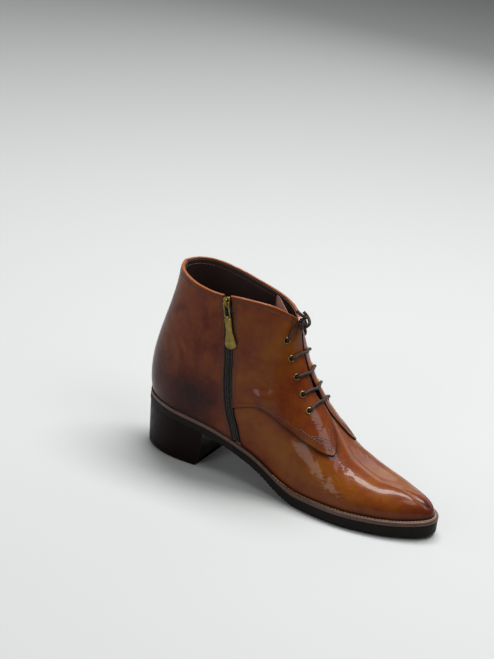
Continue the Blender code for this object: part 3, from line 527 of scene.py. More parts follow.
# Creases and folds, as lines of places (u, t) with a depth and a width in millimetres
CREASES = [
    (BACK_SEAM, 0.30, 0.7),
    # across the vamp where the ball bends, fading towards the sole
    ([(-0.312, 0.34), (-0.322, 0.48), (-0.330, 0.64)], 0.16, 2.6),
    ([(-0.338, 0.30), (-0.350, 0.42), (-0.356, 0.54)], 0.18, 2.4),
    ([(-0.366, 0.22), (-0.378, 0.33), (-0.386, 0.43)], 0.18, 2.6),
    ([(0.318, 0.36), (0.330, 0.50), (0.336, 0.62)], 0.16, 2.8),
    ([(0.345, 0.30), (0.358, 0.42), (0.366, 0.52)], 0.20, 2.6),
    ([(0.372, 0.22), (0.386, 0.34), (0.396, 0.43)], 0.18, 2.6),
    # over the ankle, inner side, between zip and eyelets
    ([(-0.650, 0.67), (-0.615, 0.66), (-0.580, 0.67)], 0.16, 2.2),
    ([(-0.645, 0.60), (-0.610, 0.59), (-0.575, 0.60)], 0.18, 2.2),
    ([(-0.640, 0.53), (-0.605, 0.52), (-0.570, 0.53)], 0.16, 2.2),
    # behind the zip
    ([(-0.842, 0.60), (-0.815, 0.56), (-0.790, 0.49), (-0.772, 0.42)], 0.24, 2.0),
    ([(-0.780, 0.90), (-0.774, 0.84), (-0.770, 0.78)], 0.32, 2.0),
    ([(-0.752, 0.93), (-0.748, 0.88)], 0.25, 1.8),
    ([(-0.860, 0.55), (-0.830, 0.48), (-0.800, 0.38)], 0.20, 3.0),
    # outer side, round the ankle
    ([(0.600, 0.66), (0.640, 0.62), (0.690, 0.60), (0.740, 0.61)], 0.26, 3.0),
    ([(0.610, 0.56), (0.650, 0.52), (0.700, 0.50)], 0.24, 2.8),
    ([(0.780, 0.62), (0.820, 0.55), (0.850, 0.46)], 0.22, 3.0),
]


def relief(points):
    """How far the creases push the leather in or out, in metres."""
    total = np.zeros(points.shape[:-1])
    for line, depth, width in CREASES:
        path = spline(line, 40)
        line_points = on_quarter(path[:, 0], path[:, 1])
        box_low, box_high = line_points.min(0) - 0.02, line_points.max(0) + 0.02
        near = ((points > box_low) & (points < box_high)).all(-1)
        if not near.any():
            continue
        d = points[near][:, None, :] - line_points[None]
        far = np.linalg.norm(d, axis=-1)
        best = far.argmin(1)
        dist = far[np.arange(len(best)), best] / (width * MM)
        fade = np.sin(np.pi * np.clip((best + 0.5) / 40, 0, 1)) ** 0.7
        total[near] += depth * MM * fade * (-np.exp(-dist * dist) + 0.55 * np.exp(-((dist - 1.9) ** 2)))
    return total


def waves(points):
    """Soft unevenness of leather pulled over a last, and its swelling over the ankle."""
    x, y, z = (points[..., k] / MM for k in range(3))
    wave = np.sin(x * 0.21 + 1.3 * np.sin(z * 0.11)) * np.sin(z * 0.17 + 0.8 * np.sin(y * 0.13 + x * 0.05))
    fine = np.sin(x * 0.47 + z * 0.33 + 1.1 * np.sin(z * 0.29)) * np.sin(z * 0.41 - y * 0.37)
    # a soft swelling over the ankle on the inner side, where the leather has settled
    swell = 2.2 * np.exp(-(((x - 113) / 10) ** 2) - ((z - 80) / 6) ** 2) * (y < 0)
    return (0.05 * wave + 0.02 * fine + swell) * MM


# Borders of the quarters, as places (u, t). The inner ones are mirrored in u.
FLAP_LOW = [
    (0.3660, 0.628), (0.3700, 0.572), (0.3780, 0.542), (0.3900, 0.510), (0.4100, 0.486),
    (0.4350, 0.480), (0.4700, 0.476), (0.5050, 0.440), (0.5350, 0.402), (0.5650, 0.355),
]
FLAP_FRONT = [
    (0.3660, 0.628), (0.3690, 0.705), (0.3775, 0.800), (0.3890, 0.900), (0.4050, 0.975), (0.4200, 0.992),
]
TOP_T = 0.995


def place_line(points, count=400):
    """A smooth line of places, spaced as on the leather."""
    scale = np.array([320.0, 95.0])
    return spline(np.array(points) * scale, count) / scale


def zip_edge(side, t):
    """The zip slot's edge: towards the toe (side 1) or the heel (side -1)."""
    t = np.asarray(t, float)
    u = -ZIP(t)
    above, below = np.minimum(t + 0.01, 1), t - 0.01
    way = on_quarter(-ZIP(above), above) - on_quarter(-ZIP(below), below)
    around = on_quarter(u + 0.004, t) - on_quarter(u - 0.004, t)
    width = np.linalg.norm(around, axis=-1) / 0.008
    sine = np.linalg.norm(np.cross(unit(way), unit(around)), axis=-1)
    return np.stack([u + side * (ZIP_OPENING / 2) / (width * sine), t], -1)


# Colours


def linear(code):
    """An sRGB hex colour in linear light."""
    parts = [int(code[i : i + 2], 16) / 255 for i in (1, 3, 5)]
    return (*(c / 12.92 if c <= 0.04045 else ((c + 0.055) / 1.055) ** 2.4 for c in parts), 1.0)


def add(tree, kind, settings=None, **links):
    """Adds a node with its settings and links.

    Gives its first output, or the one that "out" in settings numbers."""
    node = tree.nodes.new(kind)
    settings = dict(settings or {})
    out = settings.pop("out", 0)
    for key, value in settings.items():
        if key == "stops":
            bar = node.color_ramp.elements
            while len(bar) < len(value):
                bar.new(0.5)
            for element, (at, colour) in zip(bar, value):
                element.position = at
                element.color = linear(colour) if isinstance(colour, str) else (colour, colour, colour, 1)
        else:
            setattr(node, key, value)
    for key, value in links.items():
        socket = node.inputs[int(key[1:]) if key[1:].isdigit() else key.replace("_", " ")]
        if isinstance(value, bpy.types.NodeSocket):
            tree.links.new(value, socket)
        else:
            socket.default_value = linear(value) if isinstance(value, str) else value
    return node.outputs[out]


def surface(name, colour, roughness, **sockets):
    """A material with its shader's own values, its tree, its shader and the piece's own coordinates."""
    material = bpy.data.materials.new(name)
    material.use_nodes = True
    tree = material.node_tree
    shader = tree.nodes["Principled BSDF"]
    shader.inputs["Base Color"].default_value = linear(colour)
    shader.inputs["Roughness"].default_value = roughness
    for key, value in sockets.items():
        shader.inputs[key.replace("_", " ")].default_value = value
    place = add(tree, "ShaderNodeTexCoord", {"out": 3})
    return material, tree, shader, place


MIX, MATH, RAMP, BUMP = "ShaderNodeMix", "ShaderNodeMath", "ShaderNodeValToRGB", "ShaderNodeBump"
NOISE, CELLS, STRETCH = "ShaderNodeTexNoise", "ShaderNodeTexVoronoi", "ShaderNodeMapping"
BLEND = {"data_type": "RGBA", "out": 2}


def burnished_calf(name):
    """Full grain calf, dyed and burnished by hand, then waxed.

    The dye lies unevenly, so the tone drifts from red brown to gold. Burnishing leaves the cut edges and the
    low back almost black. Shade is painted in as well: a dark band just above the welt, where the upper meets
    it, and on the vamp along the quarters' edges that lie over it. The wax gives a clear shine, broken up
    where the leather has flexed into fine wrinkles."""
    material, tree, shader, place = surface(
        name, "#56250f", 0.26, Coat_Weight=0.22, Coat_Roughness=0.10, Specular_IOR_Level=0.07
    )
    value = {
        key: add(tree, "ShaderNodeAttribute", {"attribute_name": key, "out": 2})
        for key in ("tone", "dark", "edge", "raw", "flex")
    }
    cloud, mottle = (
        add(
            tree, NOISE, None, Vector=place, Scale=1 / (size * MM), Detail=3.0,
            Roughness=rough, Distortion=bent,
        )
        for size, rough, bent in ((24, 0.5, 0.5), (6, 0.55, 0.3))
    )
    drift = add(tree, MATH, {"operation": "MULTIPLY_ADD"}, _0=cloud, _1=1.0, _2=-0.50)
    drift = add(tree, MATH, {"operation": "ADD"}, _0=drift, _1=value["tone"])
    spots = add(tree, MATH, {"operation": "MULTIPLY_ADD"}, _0=mottle, _1=0.44, _2=-0.22)
    shade = add(tree, MATH, {"operation": "ADD"}, _0=drift, _1=spots)
    stops = [(0.0, "#2e0c05"), (0.28, "#501b0a"), (0.50, "#602a0e"), (0.74, "#69360c"), (1.0, "#713f09")]
    colour = add(tree, RAMP, {"stops": stops}, Fac=shade)
    # dark: burnish on the edges and the low back, with painted shade above the welt and on the vamp by the
    # quarters' edges
    colour = add(tree, MIX, BLEND, _0=value["dark"], _6=colour, _7="#130302")
    # pores about 0.5 mm apart, darker where the polish has gathered
    pores = add(tree, CELLS, None, Vector=place, Scale=1 / (0.5 * MM))
    pits = add(tree, RAMP, {"stops": [(0.0, 0.22), (0.4, 0.0)]}, Fac=pores)
    colour = add(tree, MIX, BLEND, _0=pits, _6=colour, _7="#1c0803")
    colour = add(tree, MIX, BLEND, _0=value["edge"], _6=colour, _7="#1c0d08")
    colour = add(tree, MIX, BLEND, _0=value["raw"], _6=colour, _7="#7c4626")
    tree.links.new(colour, shader.inputs["Base Color"])
    wear = add(tree, NOISE, None, Vector=place, Scale=1 / (11 * MM), Detail=5.0, Roughness=0.6)
    rough = add(tree, RAMP, {"stops": [(0.3, 0.25), (0.7, 0.40)]}, Fac=wear)
    cut = add(tree, MATH, {"operation": "MAXIMUM"}, _0=value["edge"], _1=value["raw"])
    rough = add(tree, MIX, BLEND, _0=cut, _6=rough, _7="#b0b0b0")
    tree.links.new(rough, shader.inputs["Roughness"])
    # flex wrinkles about a millimetre apart run along the boot
    along = add(tree, STRETCH, None, Vector=place, Scale=(0.8, 0.8, 2.6))
    ridged = {"noise_type": "RIDGED_MULTIFRACTAL"}
    wrinkle = add(tree, NOISE, ridged, Vector=along, Scale=1 / (5 * MM), Detail=3.5)
    flexed = add(tree, MATH, {"operation": "MULTIPLY"}, _0=wrinkle, _1=value["flex"])
    folds = add(tree, BUMP, None, Height=flexed, Distance=0.30 * MM)
    grain = add(tree, BUMP, None, Height=pores, Distance=0.04 * MM, Normal=folds)
    tree.links.new(grain, shader.inputs["Normal"])
    tree.links.new(folds, shader.inputs["Coat Normal"])
    return material


def matt_leather(name, colour, shade, roughness, patch):
    """Leather without polish, lining or split: dry and soft, mottled in patches of a size in millimetres."""
    material, tree, shader, place = surface(name, colour, roughness)
    cloud = add(tree, NOISE, None, Vector=place, Scale=1 / (patch * MM), Detail=5.0, Roughness=0.6)
    cloud = add(tree, RAMP, {"stops": [(0.35, 0.0), (0.65, 1.0)]}, Fac=cloud)
    tree.links.new(add(tree, MIX, BLEND, _0=cloud, _6=colour, _7=shade), shader.inputs["Base Color"])
    pores = add(tree, CELLS, None, Vector=place, Scale=1 / (0.6 * MM))
    tree.links.new(add(tree, BUMP, None, Height=pores, Distance=0.05 * MM), shader.inputs["Normal"])
    return material


def moulded_rubber(name, colour, shade, roughness):
    """Moulded rubber: nearly even, with a dry haze from handling and a fine speckle from the mould."""
    material, tree, shader, place = surface(name, colour, roughness, Specular_IOR_Level=0.08)
    haze = add(tree, NOISE, None, Vector=place, Scale=1 / (5 * MM), Detail=5.0, Roughness=0.65)
    tree.links.new(add(tree, MIX, BLEND, _0=haze, _6=colour, _7=shade), shader.inputs["Base Color"])
    gloss = add(tree, RAMP, {"stops": [(0.3, roughness - 0.08), (0.7, roughness + 0.1)]}, Fac=haze)
    tree.links.new(gloss, shader.inputs["Roughness"])
    speckle = add(tree, NOISE, None, Vector=place, Scale=1 / (0.5 * MM), Detail=3.0)
    tree.links.new(add(tree, BUMP, None, Height=speckle, Distance=0.05 * MM), shader.inputs["Normal"])
    return material


def waxed_cotton(name):
    """Round braided cotton, waxed: a fine slanting weave about 1.4 mm apart with a dull shine."""
    material, tree, shader, place = surface(name, "#2b1e19", 0.55, Specular_IOR_Level=0.2)
    speckle = add(tree, NOISE, None, Vector=place, Scale=1 / (0.8 * MM), Detail=4.0, Roughness=0.7)
    tree.links.new(add(tree, MIX, BLEND, _0=speckle, _6="#150d0a", _7="#3a2a23"), shader.inputs["Base Color"])
    slant = {"wave_type": "BANDS", "bands_direction": "DIAGONAL", "out": 1}
    weave = add(tree, "ShaderNodeTexWave", slant, Vector=place, Scale=1 / (4.5 * MM), Distortion=1.5)
    tree.links.new(add(tree, BUMP, None, Height=weave, Distance=0.14 * MM), shader.inputs["Normal"])
    return material


def antique_brass(name):
    """Brass plate under a dark wash that is rubbed off in patches, lightly brushed along its length."""
    material, tree, shader, place = surface(name, "#6e5c30", 0.34, Metallic=1.0)
    wash = add(tree, NOISE, None, Vector=place, Scale=1 / (4 * MM), Detail=3.0, Roughness=0.5)
    stops = [(0.30, "#6b5a30"), (0.70, "#8a7743")]
    tree.links.new(add(tree, RAMP, {"stops": stops}, Fac=wash), shader.inputs["Base Color"])
    gloss = add(tree, RAMP, {"stops": [(0.3, 0.28), (0.7, 0.38)]}, Fac=wash)
    tree.links.new(gloss, shader.inputs["Roughness"])
    along = add(tree, STRETCH, None, Vector=place, Scale=(1, 1, 0.08))
    brushed = add(tree, NOISE, None, Vector=along, Scale=1 / (0.35 * MM), Detail=2.0)
    tree.links.new(add(tree, BUMP, None, Height=brushed, Distance=0.01 * MM), shader.inputs["Normal"])
    return material


def bonded_thread(name, colour, shade):
    """Bonded polyester thread: twisted, faintly fuzzy, soiled in places."""
    material, tree, shader, place = surface(name, colour, 0.6, Sheen_Weight=0.2)
    soil = add(tree, NOISE, None, Vector=place, Scale=1 / (2.0 * MM), Detail=3.0)
    tree.links.new(add(tree, MIX, BLEND, _0=soil, _6=colour, _7=shade), shader.inputs["Base Color"])
    return material


def woven_polyester(name):
    """Black polyester zip tape in a fine plain weave, 0.6 mm from thread to thread."""
    material, tree, shader, place = surface(name, "#131010", 0.85, Specular_IOR_Level=0.1)
    weave = add(tree, "ShaderNodeTexChecker", {"out": 1}, Vector=place, Scale=1 / (0.6 * MM))
    tree.links.new(add(tree, MIX, BLEND, _0=weave, _6="#0d0908", _7="#191412"), shader.inputs["Base Color"])
    tree.links.new(add(tree, BUMP, None, Height=weave, Distance=0.08 * MM), shader.inputs["Normal"])
    return material


def nylon(name):
    """Extruded black nylon: smooth, with a faint cloudiness."""
    material, tree, shader, place = surface(name, "#141111", 0.36)
    cloud = add(tree, NOISE, None, Vector=place, Scale=1 / (1.5 * MM), Detail=3.0)
    tree.links.new(add(tree, MIX, BLEND, _0=cloud, _6="#0b0909", _7="#1d1918"), shader.inputs["Base Color"])
    return material


LEATHER = burnished_calf("burnished_cognac_calf")
LINING = matt_leather("brown_calf_lining", "#33201a", "#2a1914", 0.6, 14)
SOCK = matt_leather("brown_leather_sock", "#3a2418", "#2e1c13", 0.6, 14)
TONGUE = matt_leather("split_leather_tongue", "#754635", "#5c3426", 0.6, 8)
WELT_LEATHER = matt_leather("waxed_welt_leather", "#4a2a1c", "#361c12", 0.42, 6)
OUTSOLE = moulded_rubber("dark_brown_moulded_rubber", "#1c1816", "#14110f", 0.50)
HEEL = moulded_rubber("dark_brown_block_heel", "#0b0403", "#130705", 0.40)
LACE_CORD = waxed_cotton("waxed_cotton_lace")
BRASS = antique_brass("antique_brass")
DARK_THREAD = bonded_thread("dark_brown_thread", "#160b08", "#2b1810")
TAN_THREAD = bonded_thread("tan_thread", "#6e4a30", "#3a2114")
CREAM_THREAD = bonded_thread("cream_welt_thread", "#b79a6c", "#6e5334")
# Painted shade: a near black matt leather for the needle holes between stitches
HOLE_SHADE = matt_leather("burnt_needle_hole", "#0c0403", "#150806", 0.8, 3)
TAPE = woven_polyester("black_zip_tape")
COIL = nylon("black_nylon_coil")


# Burnish of the leather, in the heel's frame in millimetres: centre x and z, side (-1 inner, 1 outer
# or 0 both), reach in x and z, how much redder (-) or more golden (+) and how much darker it is there
BURNISH = [
    (40, 60, -1, 34, 26, -0.30, 0.62),
    (8, 84, 0, 20, 34, -0.18, 0.30),
    (60, 100, -1, 16, 44, -0.12, 0.06),
    (36, 140, -1, 26, 26, -0.08, 0.0),
    (66, 62, -1, 18, 14, -0.10, 0.22),
    (86, 104, -1, 9, 46, 0.18, 0.0),
    (116, 112, -1, 14, 28, 0.28, 0.0),
    (100, 146, -1, 20, 12, 0.05, 0.0),
    (136, 84, -1, 12, 12, -0.14, 0.0),
    (112, 62, -1, 18, 16, 0.24, 0.0),
    (150, 42, -1, 28, 16, 0.32, 0.0),
    (188, 32, -1, 30, 10, 0.26, 0.0),
    (180, 58, -1, 16, 10, -0.08, 0.0),
    (232, 38, 0, 24, 14, 0.20, 0.0),
    (262, 24, 0, 12, 10, -0.14, 0.12),
    (42, 62, 1, 34, 24, -0.24, 0.45),
    (120, 95, 1, 40, 34, 0.16, 0.0),
    (160, 45, 1, 44, 22, 0.20, 0.0),
]


def leather_values(u, t, points, rim):
    """The burnish of each point: its tone, its darkness (burnish, with painted shade just above the welt) and
    how much it flexes.
    """
    x, y, z = (points[..., k] / MM for k in range(3))
    side = np.sign(wrapped(u))
    s = np.abs(wrapped(u))
    height = z - welt_top(points[..., 0]) / MM
    tone = np.full(x.shape, 0.50)
    # painted shade: darker in a narrow band just above the welt, in the corner where the upper meets it
    dark = 0.62 * np.exp(-((height / 2.6) ** 2))
    # burnish: darker low along the back
    dark += 0.20 * np.exp(-((height / 9.0) ** 2)) * np.clip((s - 0.5) / 0.2, 0, 1)
    for cx, cz, on, rx, rz, golden, darker in BURNISH:
        weight = np.exp(-(((x - cx) / rx) ** 2) - ((z - cz) / rz) ** 2)
        weight = weight * (1.0 if on == 0 else np.clip(0.5 + 0.5 * side * on, 0, 1))
        tone += golden * weight
        dark += darker * weight
    dark += 0.52 * np.clip(1 - rim / (3.4 * MM), 0, 1) ** 1.4
    flex = 0.16 + 0.90 * np.exp(-(((s - 0.36) / 0.07) ** 2)) * np.clip(1.5 - 1.3 * t, 0, 1)
    flex += 0.6 * np.exp(-(((s - 0.61) / 0.05) ** 2)) * np.exp(-(((t - 0.60) / 0.16) ** 2))
    flex += 0.4 * np.exp(-(((s - 0.80) / 0.06) ** 2)) * np.exp(-(((t - 0.62) / 0.2) ** 2))
    flex *= np.clip((s - 0.14) / 0.14, 0.0, 1)
    return tone, np.clip(dark, 0, 0.92), np.clip(flex, 0, 1.4)


EYELET_HOLE = 2.05 * MM  # radius
RIDGE_END = 0.436  # where the ridge stays under the quarters' flaps
SMOOTHING_TURNS = 1400


def over_ridge(u):
    """Which of the vamp's columns reach the ridge, where the two sides meet."""
    return (np.abs(wrapped(u[:, -1])) < RIDGE_END)[:, None]


def eased(face, u, t):
    """The vamp's points, with the meeting of its two sides and the folds by it smoothed into one form.

    Column j of one side meets the mirrored column of the other at the ridge. Every turn moves a point towards
    its four neighbours and then nearly as far back, which takes out short waves and keeps the form."""
    s = np.abs(wrapped(u))
    hold = (step((t - 0.25) / 0.3) * (1 - step((s - 0.33) / 0.09)))[..., None]
    over = over_ridge(u)
    face = face.copy()
    face[:, -1] = np.where(over, (face[:, -1] + face[::-1, -1]) / 2, face[:, -1])
    for turn in range(2 * SMOOTHING_TURNS):
        left, right = np.concatenate([face[:1], face[:-1]]), np.concatenate([face[1:], face[-1:]])
        beyond = np.where(over, face[::-1, -2], face[:, -1])
        up = np.concatenate([face[:, 1:], beyond[:, None]], 1)
        down = np.concatenate([face[:, :1], face[:, :-1]], 1)
        pull = (left + right + up + down) / 4 - face
        face += (0.5 if turn % 2 == 0 else -0.5015) * hold * pull
    return face


def across_ridge(out, u):
    """Normals with those of the two sides made one at the ridge."""
    out = out.copy()
    out[:, -1] = np.where(over_ridge(u), unit(out[:, -1] + out[::-1, -1]), out[:, -1])
    return out


def leather_panel(name, face, out, under, u, t, border, raw=None, faces=None, holes=(), seam=None):
    """A panel of leather with rounded cut edges along its border; the raw part of it is left undyed."""
    rim = rim_distance(face, border)
    radius = 0.75 * MM
    near = np.clip(rim / radius, 0, 1)
    drop = radius * (1 - np.sqrt(np.clip(1 - (1 - near) ** 2, 0, 1)))
    push = (relief(face) + waves(face)) * np.clip(rim / (4 * MM), 0.0, 1.0)
    top = face + out * (push - drop)[..., None]
    tone, dark, flex = leather_values(u, t, face, rim)
    # painted shade: the vamp darker within 4.5 mm of the quarters' edges, which lie over it
    if seam is not None:
        dark = np.maximum(dark, 0.72 * np.clip(1 - rim_distance(face, seam) / (4.5 * MM), 0, 1) ** 1.3)
    edge = np.clip(1.2 - rim / radius, 0, 1)
    bare = np.zeros_like(edge)
    if raw is not None:
        bare = np.clip(1.3 - rim_distance(face, raw) / (0.9 * MM), 0, 1)
        edge = edge * (1 - bare)
    values = {"tone": tone, "dark": dark, "flex": flex, "edge": edge, "raw": bare}
    below = {**values, "edge": 1 - bare}
    twice = {key: np.stack([values[key], below[key]]) for key in values}
    points = np.concatenate([top.reshape(-1, 3), under.reshape(-1, 3)])
    if faces is None:
        faces = shell_faces(*u.shape)
    if len(holes):
        faces = punched(faces, top.reshape(-1, 3), u.size, holes, EYELET_HOLE)
    panel = mesh_object(name, points, faces, LEATHER, twice, glue=2e-6)
    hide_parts("upper")


def punched(faces, top, size, centres, radius):
    """The faces of a shell less those at the eyelets, with walls through the holes."""
    out, edges = [], {}
    for face in faces:
        flat = all(v < size for v in face) or all(v >= size for v in face)
        centre = top[[v % size for v in face]].mean(0) if flat else None
        if flat and min(np.linalg.norm(centre - c) for c in centres) < radius:
            if face[0] < size:
                for a, b in zip(face, face[1:] + face[:1]):
                    if (b, a) in edges:
                        del edges[(b, a)]
                    else:
                        edges[(a, b)] = True
        else:
            out.append(face)
    out += [[a, b, b + size, a + size] for a, b in edges]
    return out


# Vamp: from the sole up to the ridge, and on under the quarters to the zip

ROWS = 78
VAMP_END = 0.668  # how far round the vamp reaches under the quarters
DRAWN_IN = 0.55  # from here on its inner side is drawn in, to stop at the zip's front edge
flap_cover = smooth_table(
    ("around", "top"),
    [
        (0.0, 1.0), (RIDGE_END, 1.0), (0.455, 0.80), (0.48, 0.60), (0.53, 0.52), (0.58, 0.42), (0.62, 0.36),
        (VAMP_END, 0.22),
    ],
    8,
)["top"]
half_turns = np.linspace(0, 1, 190) * VAMP_END
vamp_turns = np.concatenate([-half_turns[::-1][:-1], half_turns])
vamp_top = np.where(np.abs(vamp_turns) < RIDGE_END, 1.0, flap_cover(np.abs(vamp_turns)))
vamp_t = np.linspace(0, 1, ROWS)[None, :] * vamp_top[:, None]
vamp_u = np.repeat(vamp_turns[:, None], ROWS, 1)
zip_front = zip_edge(1, np.linspace(0.012, 0.5, 160))
share = np.clip((vamp_u + DRAWN_IN) / (DRAWN_IN - VAMP_END), 0, None)
limit = np.interp(vamp_t, zip_front[:, 1], zip_front[:, 0])
vamp_u = np.where(vamp_u < -DRAWN_IN, -DRAWN_IN + (limit + DRAWN_IN) * share, vamp_u)
vamp_face = eased(on_wall(vamp_u, vamp_t), vamp_u, vamp_t)
vamp_way = np.gradient(vamp_face, axis=0), np.gradient(vamp_face, axis=1)
vamp_out = across_ridge(unit(np.cross(vamp_way[0], vamp_way[1])), vamp_u)
vamp_out = np.where(((vamp_out * normal(vamp_u, vamp_t)).sum(-1) < 0)[..., None], -vamp_out, vamp_out)
wide = 2 * len(half_turns) - 1
open_top = [j for j in range(wide) if abs(vamp_turns[j]) >= RIDGE_END]
vamp_faces = shell_faces(wide, ROWS, walls="abc")
for j in open_top[:-1]:
    if j + 1 in open_top:
        k = j * ROWS + ROWS - 1
        vamp_faces.append([k, k + ROWS, k + ROWS + wide * ROWS, k + wide * ROWS])
flap_edge = np.vstack([place_line(FLAP_LOW, 260), place_line(FLAP_FRONT, 120)])
# the quarters' flap edges over the vamp, along which the vamp gets painted shade
flap_seam = np.concatenate([on_wall(side * flap_edge[:, 0], flap_edge[:, 1]) for side in (-1, 1)])
leather_panel(
    "vamp", vamp_face, vamp_out, vamp_face - vamp_out * 1.2 * MM, vamp_u, vamp_t,
    on_wall(zip_front[:, 0], zip_front[:, 1]), faces=vamp_faces, seam=flap_seam,
)

# Quarters


def eyelet(side, index):
    """An eyelet's centre on its quarter's face, and the way out of the leather there."""
    s_at, t_at = EYELETS[index]
    u, t = np.array(s_at * (-1 if side == "inner" else 1)), np.array(t_at)
    return on_quarter(u, t), normal(u, t)


def level_line(start, end, t, count):
    """A line of places at one height."""
    return np.stack([np.linspace(start, end, count), np.full(count, t)], -1)


low_line = place_line(FLAP_LOW + [(0.590, 0.300), (0.618, 0.232)], 500)
FRONT_CORNER = 0.5602  # where the quarters' front edges meet the collar
front_line = place_line(FLAP_FRONT + [(0.440, 0.9935), (0.480, 0.994), (0.520, 0.994), (0.560, 0.9945)], 500)
front_line = front_line[front_line[:, 0] < FRONT_CORNER]


# Inner quarter, in front of the zip
mirror = np.array([-1.0, 1.0])
zip_front_full = zip_edge(1, np.linspace(0.0, 1.0, 500))
FLAP_AT_ZIP = 0.262  # the height at which the flap's low edge meets the zip
corner = int(np.argmin(np.abs(zip_front_full[:, 1] - FLAP_AT_ZIP)))
zip_corner = zip_front_full[corner]
inner_low = low_line * mirror
inner_low = np.vstack([inner_low[inner_low[:, 0] > zip_corner[0]], zip_corner])[::-1]
collar_start = zip_front_full[np.argmin(np.abs(zip_front_full[:, 1] - TOP_T))]
collar = level_line(collar_start[0], -FRONT_CORNER, TOP_T, 200)
inner_high = np.vstack([collar, (front_line * mirror)[::-1]])
inner_low, inner_high = (columns_along(border, 150, True) for border in (inner_low, inner_high))
zip_part = zip_front_full[corner:]
zip_part = zip_part[zip_part[:, 1] <= TOP_T]
inner_grid = panel_grid(inner_low, inner_high, zip_part, 86)


def border_points(grid):
    """Points along a panel's first column, its high border and its low one."""
    ring = even(np.concatenate([grid[0], grid[:, -1], grid[::-1, 0]]), 2400)
    return on_quarter(ring[:, 0], ring[:, 1])


def quarter_panel(side, grid, border, collar):
    """A quarter, whose leather is turned in along the collar and the front so that its edge shows thicker."""
    u, t = grid[..., 0], grid[..., 1]
    face, out = on_quarter(u, t), normal(u, t)
    thick = (1.25 + 1.25 * step((t - 0.93) / 0.05)) * MM
    raw = on_quarter(collar[:, 0], collar[:, 1])
    holes = [eyelet(side, index)[0] for index in range(len(EYELETS))]
    leather_panel(f"quarter_{side}", face, out, face - out * thick[..., None], u, t, border, raw, holes=holes)


quarter_panel("inner", inner_grid, border_points(inner_grid), collar)

# Back of the boot and outer quarter, one panel from the zip round the heel to the outer flap
zip_back = zip_edge(-1, np.linspace(0.0, 1.0, 500))
outer_low = FLAP_LOW + [(0.592, 0.310), (0.620, 0.240), (0.643, 0.150), (0.658, 0.060), (0.664, 0.012)]
outer_low = place_line(outer_low, 600)
low_stations = [level_line(zip_back[3][0], -1.0, 0.0, 120), level_line(1.0, 0.664, 0.0, 100), outer_low[::-1]]
collar_end = zip_back[np.argmin(np.abs(zip_back[:, 1] - TOP_T))]
high_stations = [
    level_line(collar_end[0], -1.0, TOP_T, 120),
    level_line(1.0, 0.640, TOP_T, 100),
    np.vstack([level_line(0.640, FRONT_CORNER, TOP_T, 60), front_line[::-1]]),
]


def chained(stations):
    """One border of the outer panel from its three parts, each with its own number of columns."""
    out = []
    for k, (path, count) in enumerate(zip(stations, (100, 80, 130))):
        piece = columns_along(path, count, k == 0)
        out.append(piece if k == 0 else piece[1:])
    border = np.vstack(out)
    border[:, 0] = np.where(border[:, 0] > 0, border[:, 0] - 2, border[:, 0])
    return border


outer_grid = panel_grid(chained(low_stations), chained(high_stations), zip_back[zip_back[:, 1] <= TOP_T], 100)
outer_border = border_points(outer_grid)
outer_border = outer_border[outer_border[:, 2] > welt_top(outer_border[:, 0]) + 1.2 * MM]
collar_line = np.vstack(high_stations[:2] + [high_stations[2][:60]])
quarter_panel("outer", outer_grid, outer_border, collar_line)

# Lining: the whole inside, from the zip's front edge round the toe and the heel to its back edge
lining_t = np.concatenate([np.linspace(0.0, 0.95, 48), [0.965, 0.978, 0.986]])
span = np.linspace(0, 1, 250)[:, None]
lining_u = zip_edge(1, lining_t)[None, :, 0] * (1 - span) + (zip_edge(-1, lining_t)[None, :, 0] + 2) * span
lining_t = np.broadcast_to(lining_t, lining_u.shape)
lining_faces = [on_wall(lining_u, lining_t, depth).reshape(-1, 3) for depth in (-1.30 * MM, -2.0 * MM)]
lining = mesh_object("lining", np.concatenate(lining_faces), shell_faces(*lining_u.shape), LINING)
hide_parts("upper")

# Stitching


def stitch_parts(line, normals, length, gap, radius, rise):
    """Stitches along a line: short arched bars whose ends dip into the leather."""
    along = lengths(line)
    count = max(1, int(along[-1] / (length + gap)))
    pitch = along[-1] / count
    centres = (np.arange(count) + 0.5) * pitch
    at, up = sampled(line, along, centres), unit(sampled(normals, along, centres))
    way = unit(sampled(line, along, centres + 0.4 * length) - sampled(line, along, centres - 0.4 * length))
    side = unit(np.cross(up, way))
    template, segments = [], 6
    half = [(-0.5, 0.45, -0.9), (-0.38, 0.9, 0.1), (-0.15, 1.0, 0.85)]
    profile = half + [(-x, r, h) for x, r, h in half[::-1]]
    for x, r, h in profile:
        for k in range(segments):
            a = 2 * math.pi * k / segments
            ring = math.cos(a) * r * radius, math.sin(a) * r * radius * 0.8 + h * rise
            template.append((x * (pitch - gap), *ring))
    template = np.array(template)
    points = (
        at[:, None]
        + way[:, None] * template[None, :, :1]
        + side[:, None] * template[None, :, 1:2]
        + up[:, None] * template[None, :, 2:3]
    )
    return points.reshape(-1, 3), copied(ring_faces(len(profile), segments), len(template), count), pitch


def hole_shade_parts(line, normals, pitch, radius):
    """Painted shade of the needle holes between stitches: small dark lentils lying in the leather."""
    along = lengths(line)
    count = max(1, int(along[-1] / pitch))
    centres = np.arange(count + 1) * along[-1] / count
    at, up = sampled(line, along, centres), unit(sampled(normals, along, centres))
    side = unit(np.cross(up, [0.3, 0.5, 0.8]))
    other = np.cross(up, side)
    segments = 8
    angles = 2 * np.pi * np.arange(segments) / segments
    ring = side[:, None] * np.cos(angles)[None, :, None] + other[:, None] * np.sin(angles)[None, :, None]
    low = at[:, None] + ring * radius - up[:, None] * 0.12 * MM
    high = at[:, None] + ring * radius * 0.8 + up[:, None] * 0.07 * MM
    points = np.concatenate([low, high], 1)
    return points.reshape(-1, 3), copied(ring_faces(2, segments), 2 * segments, len(at))


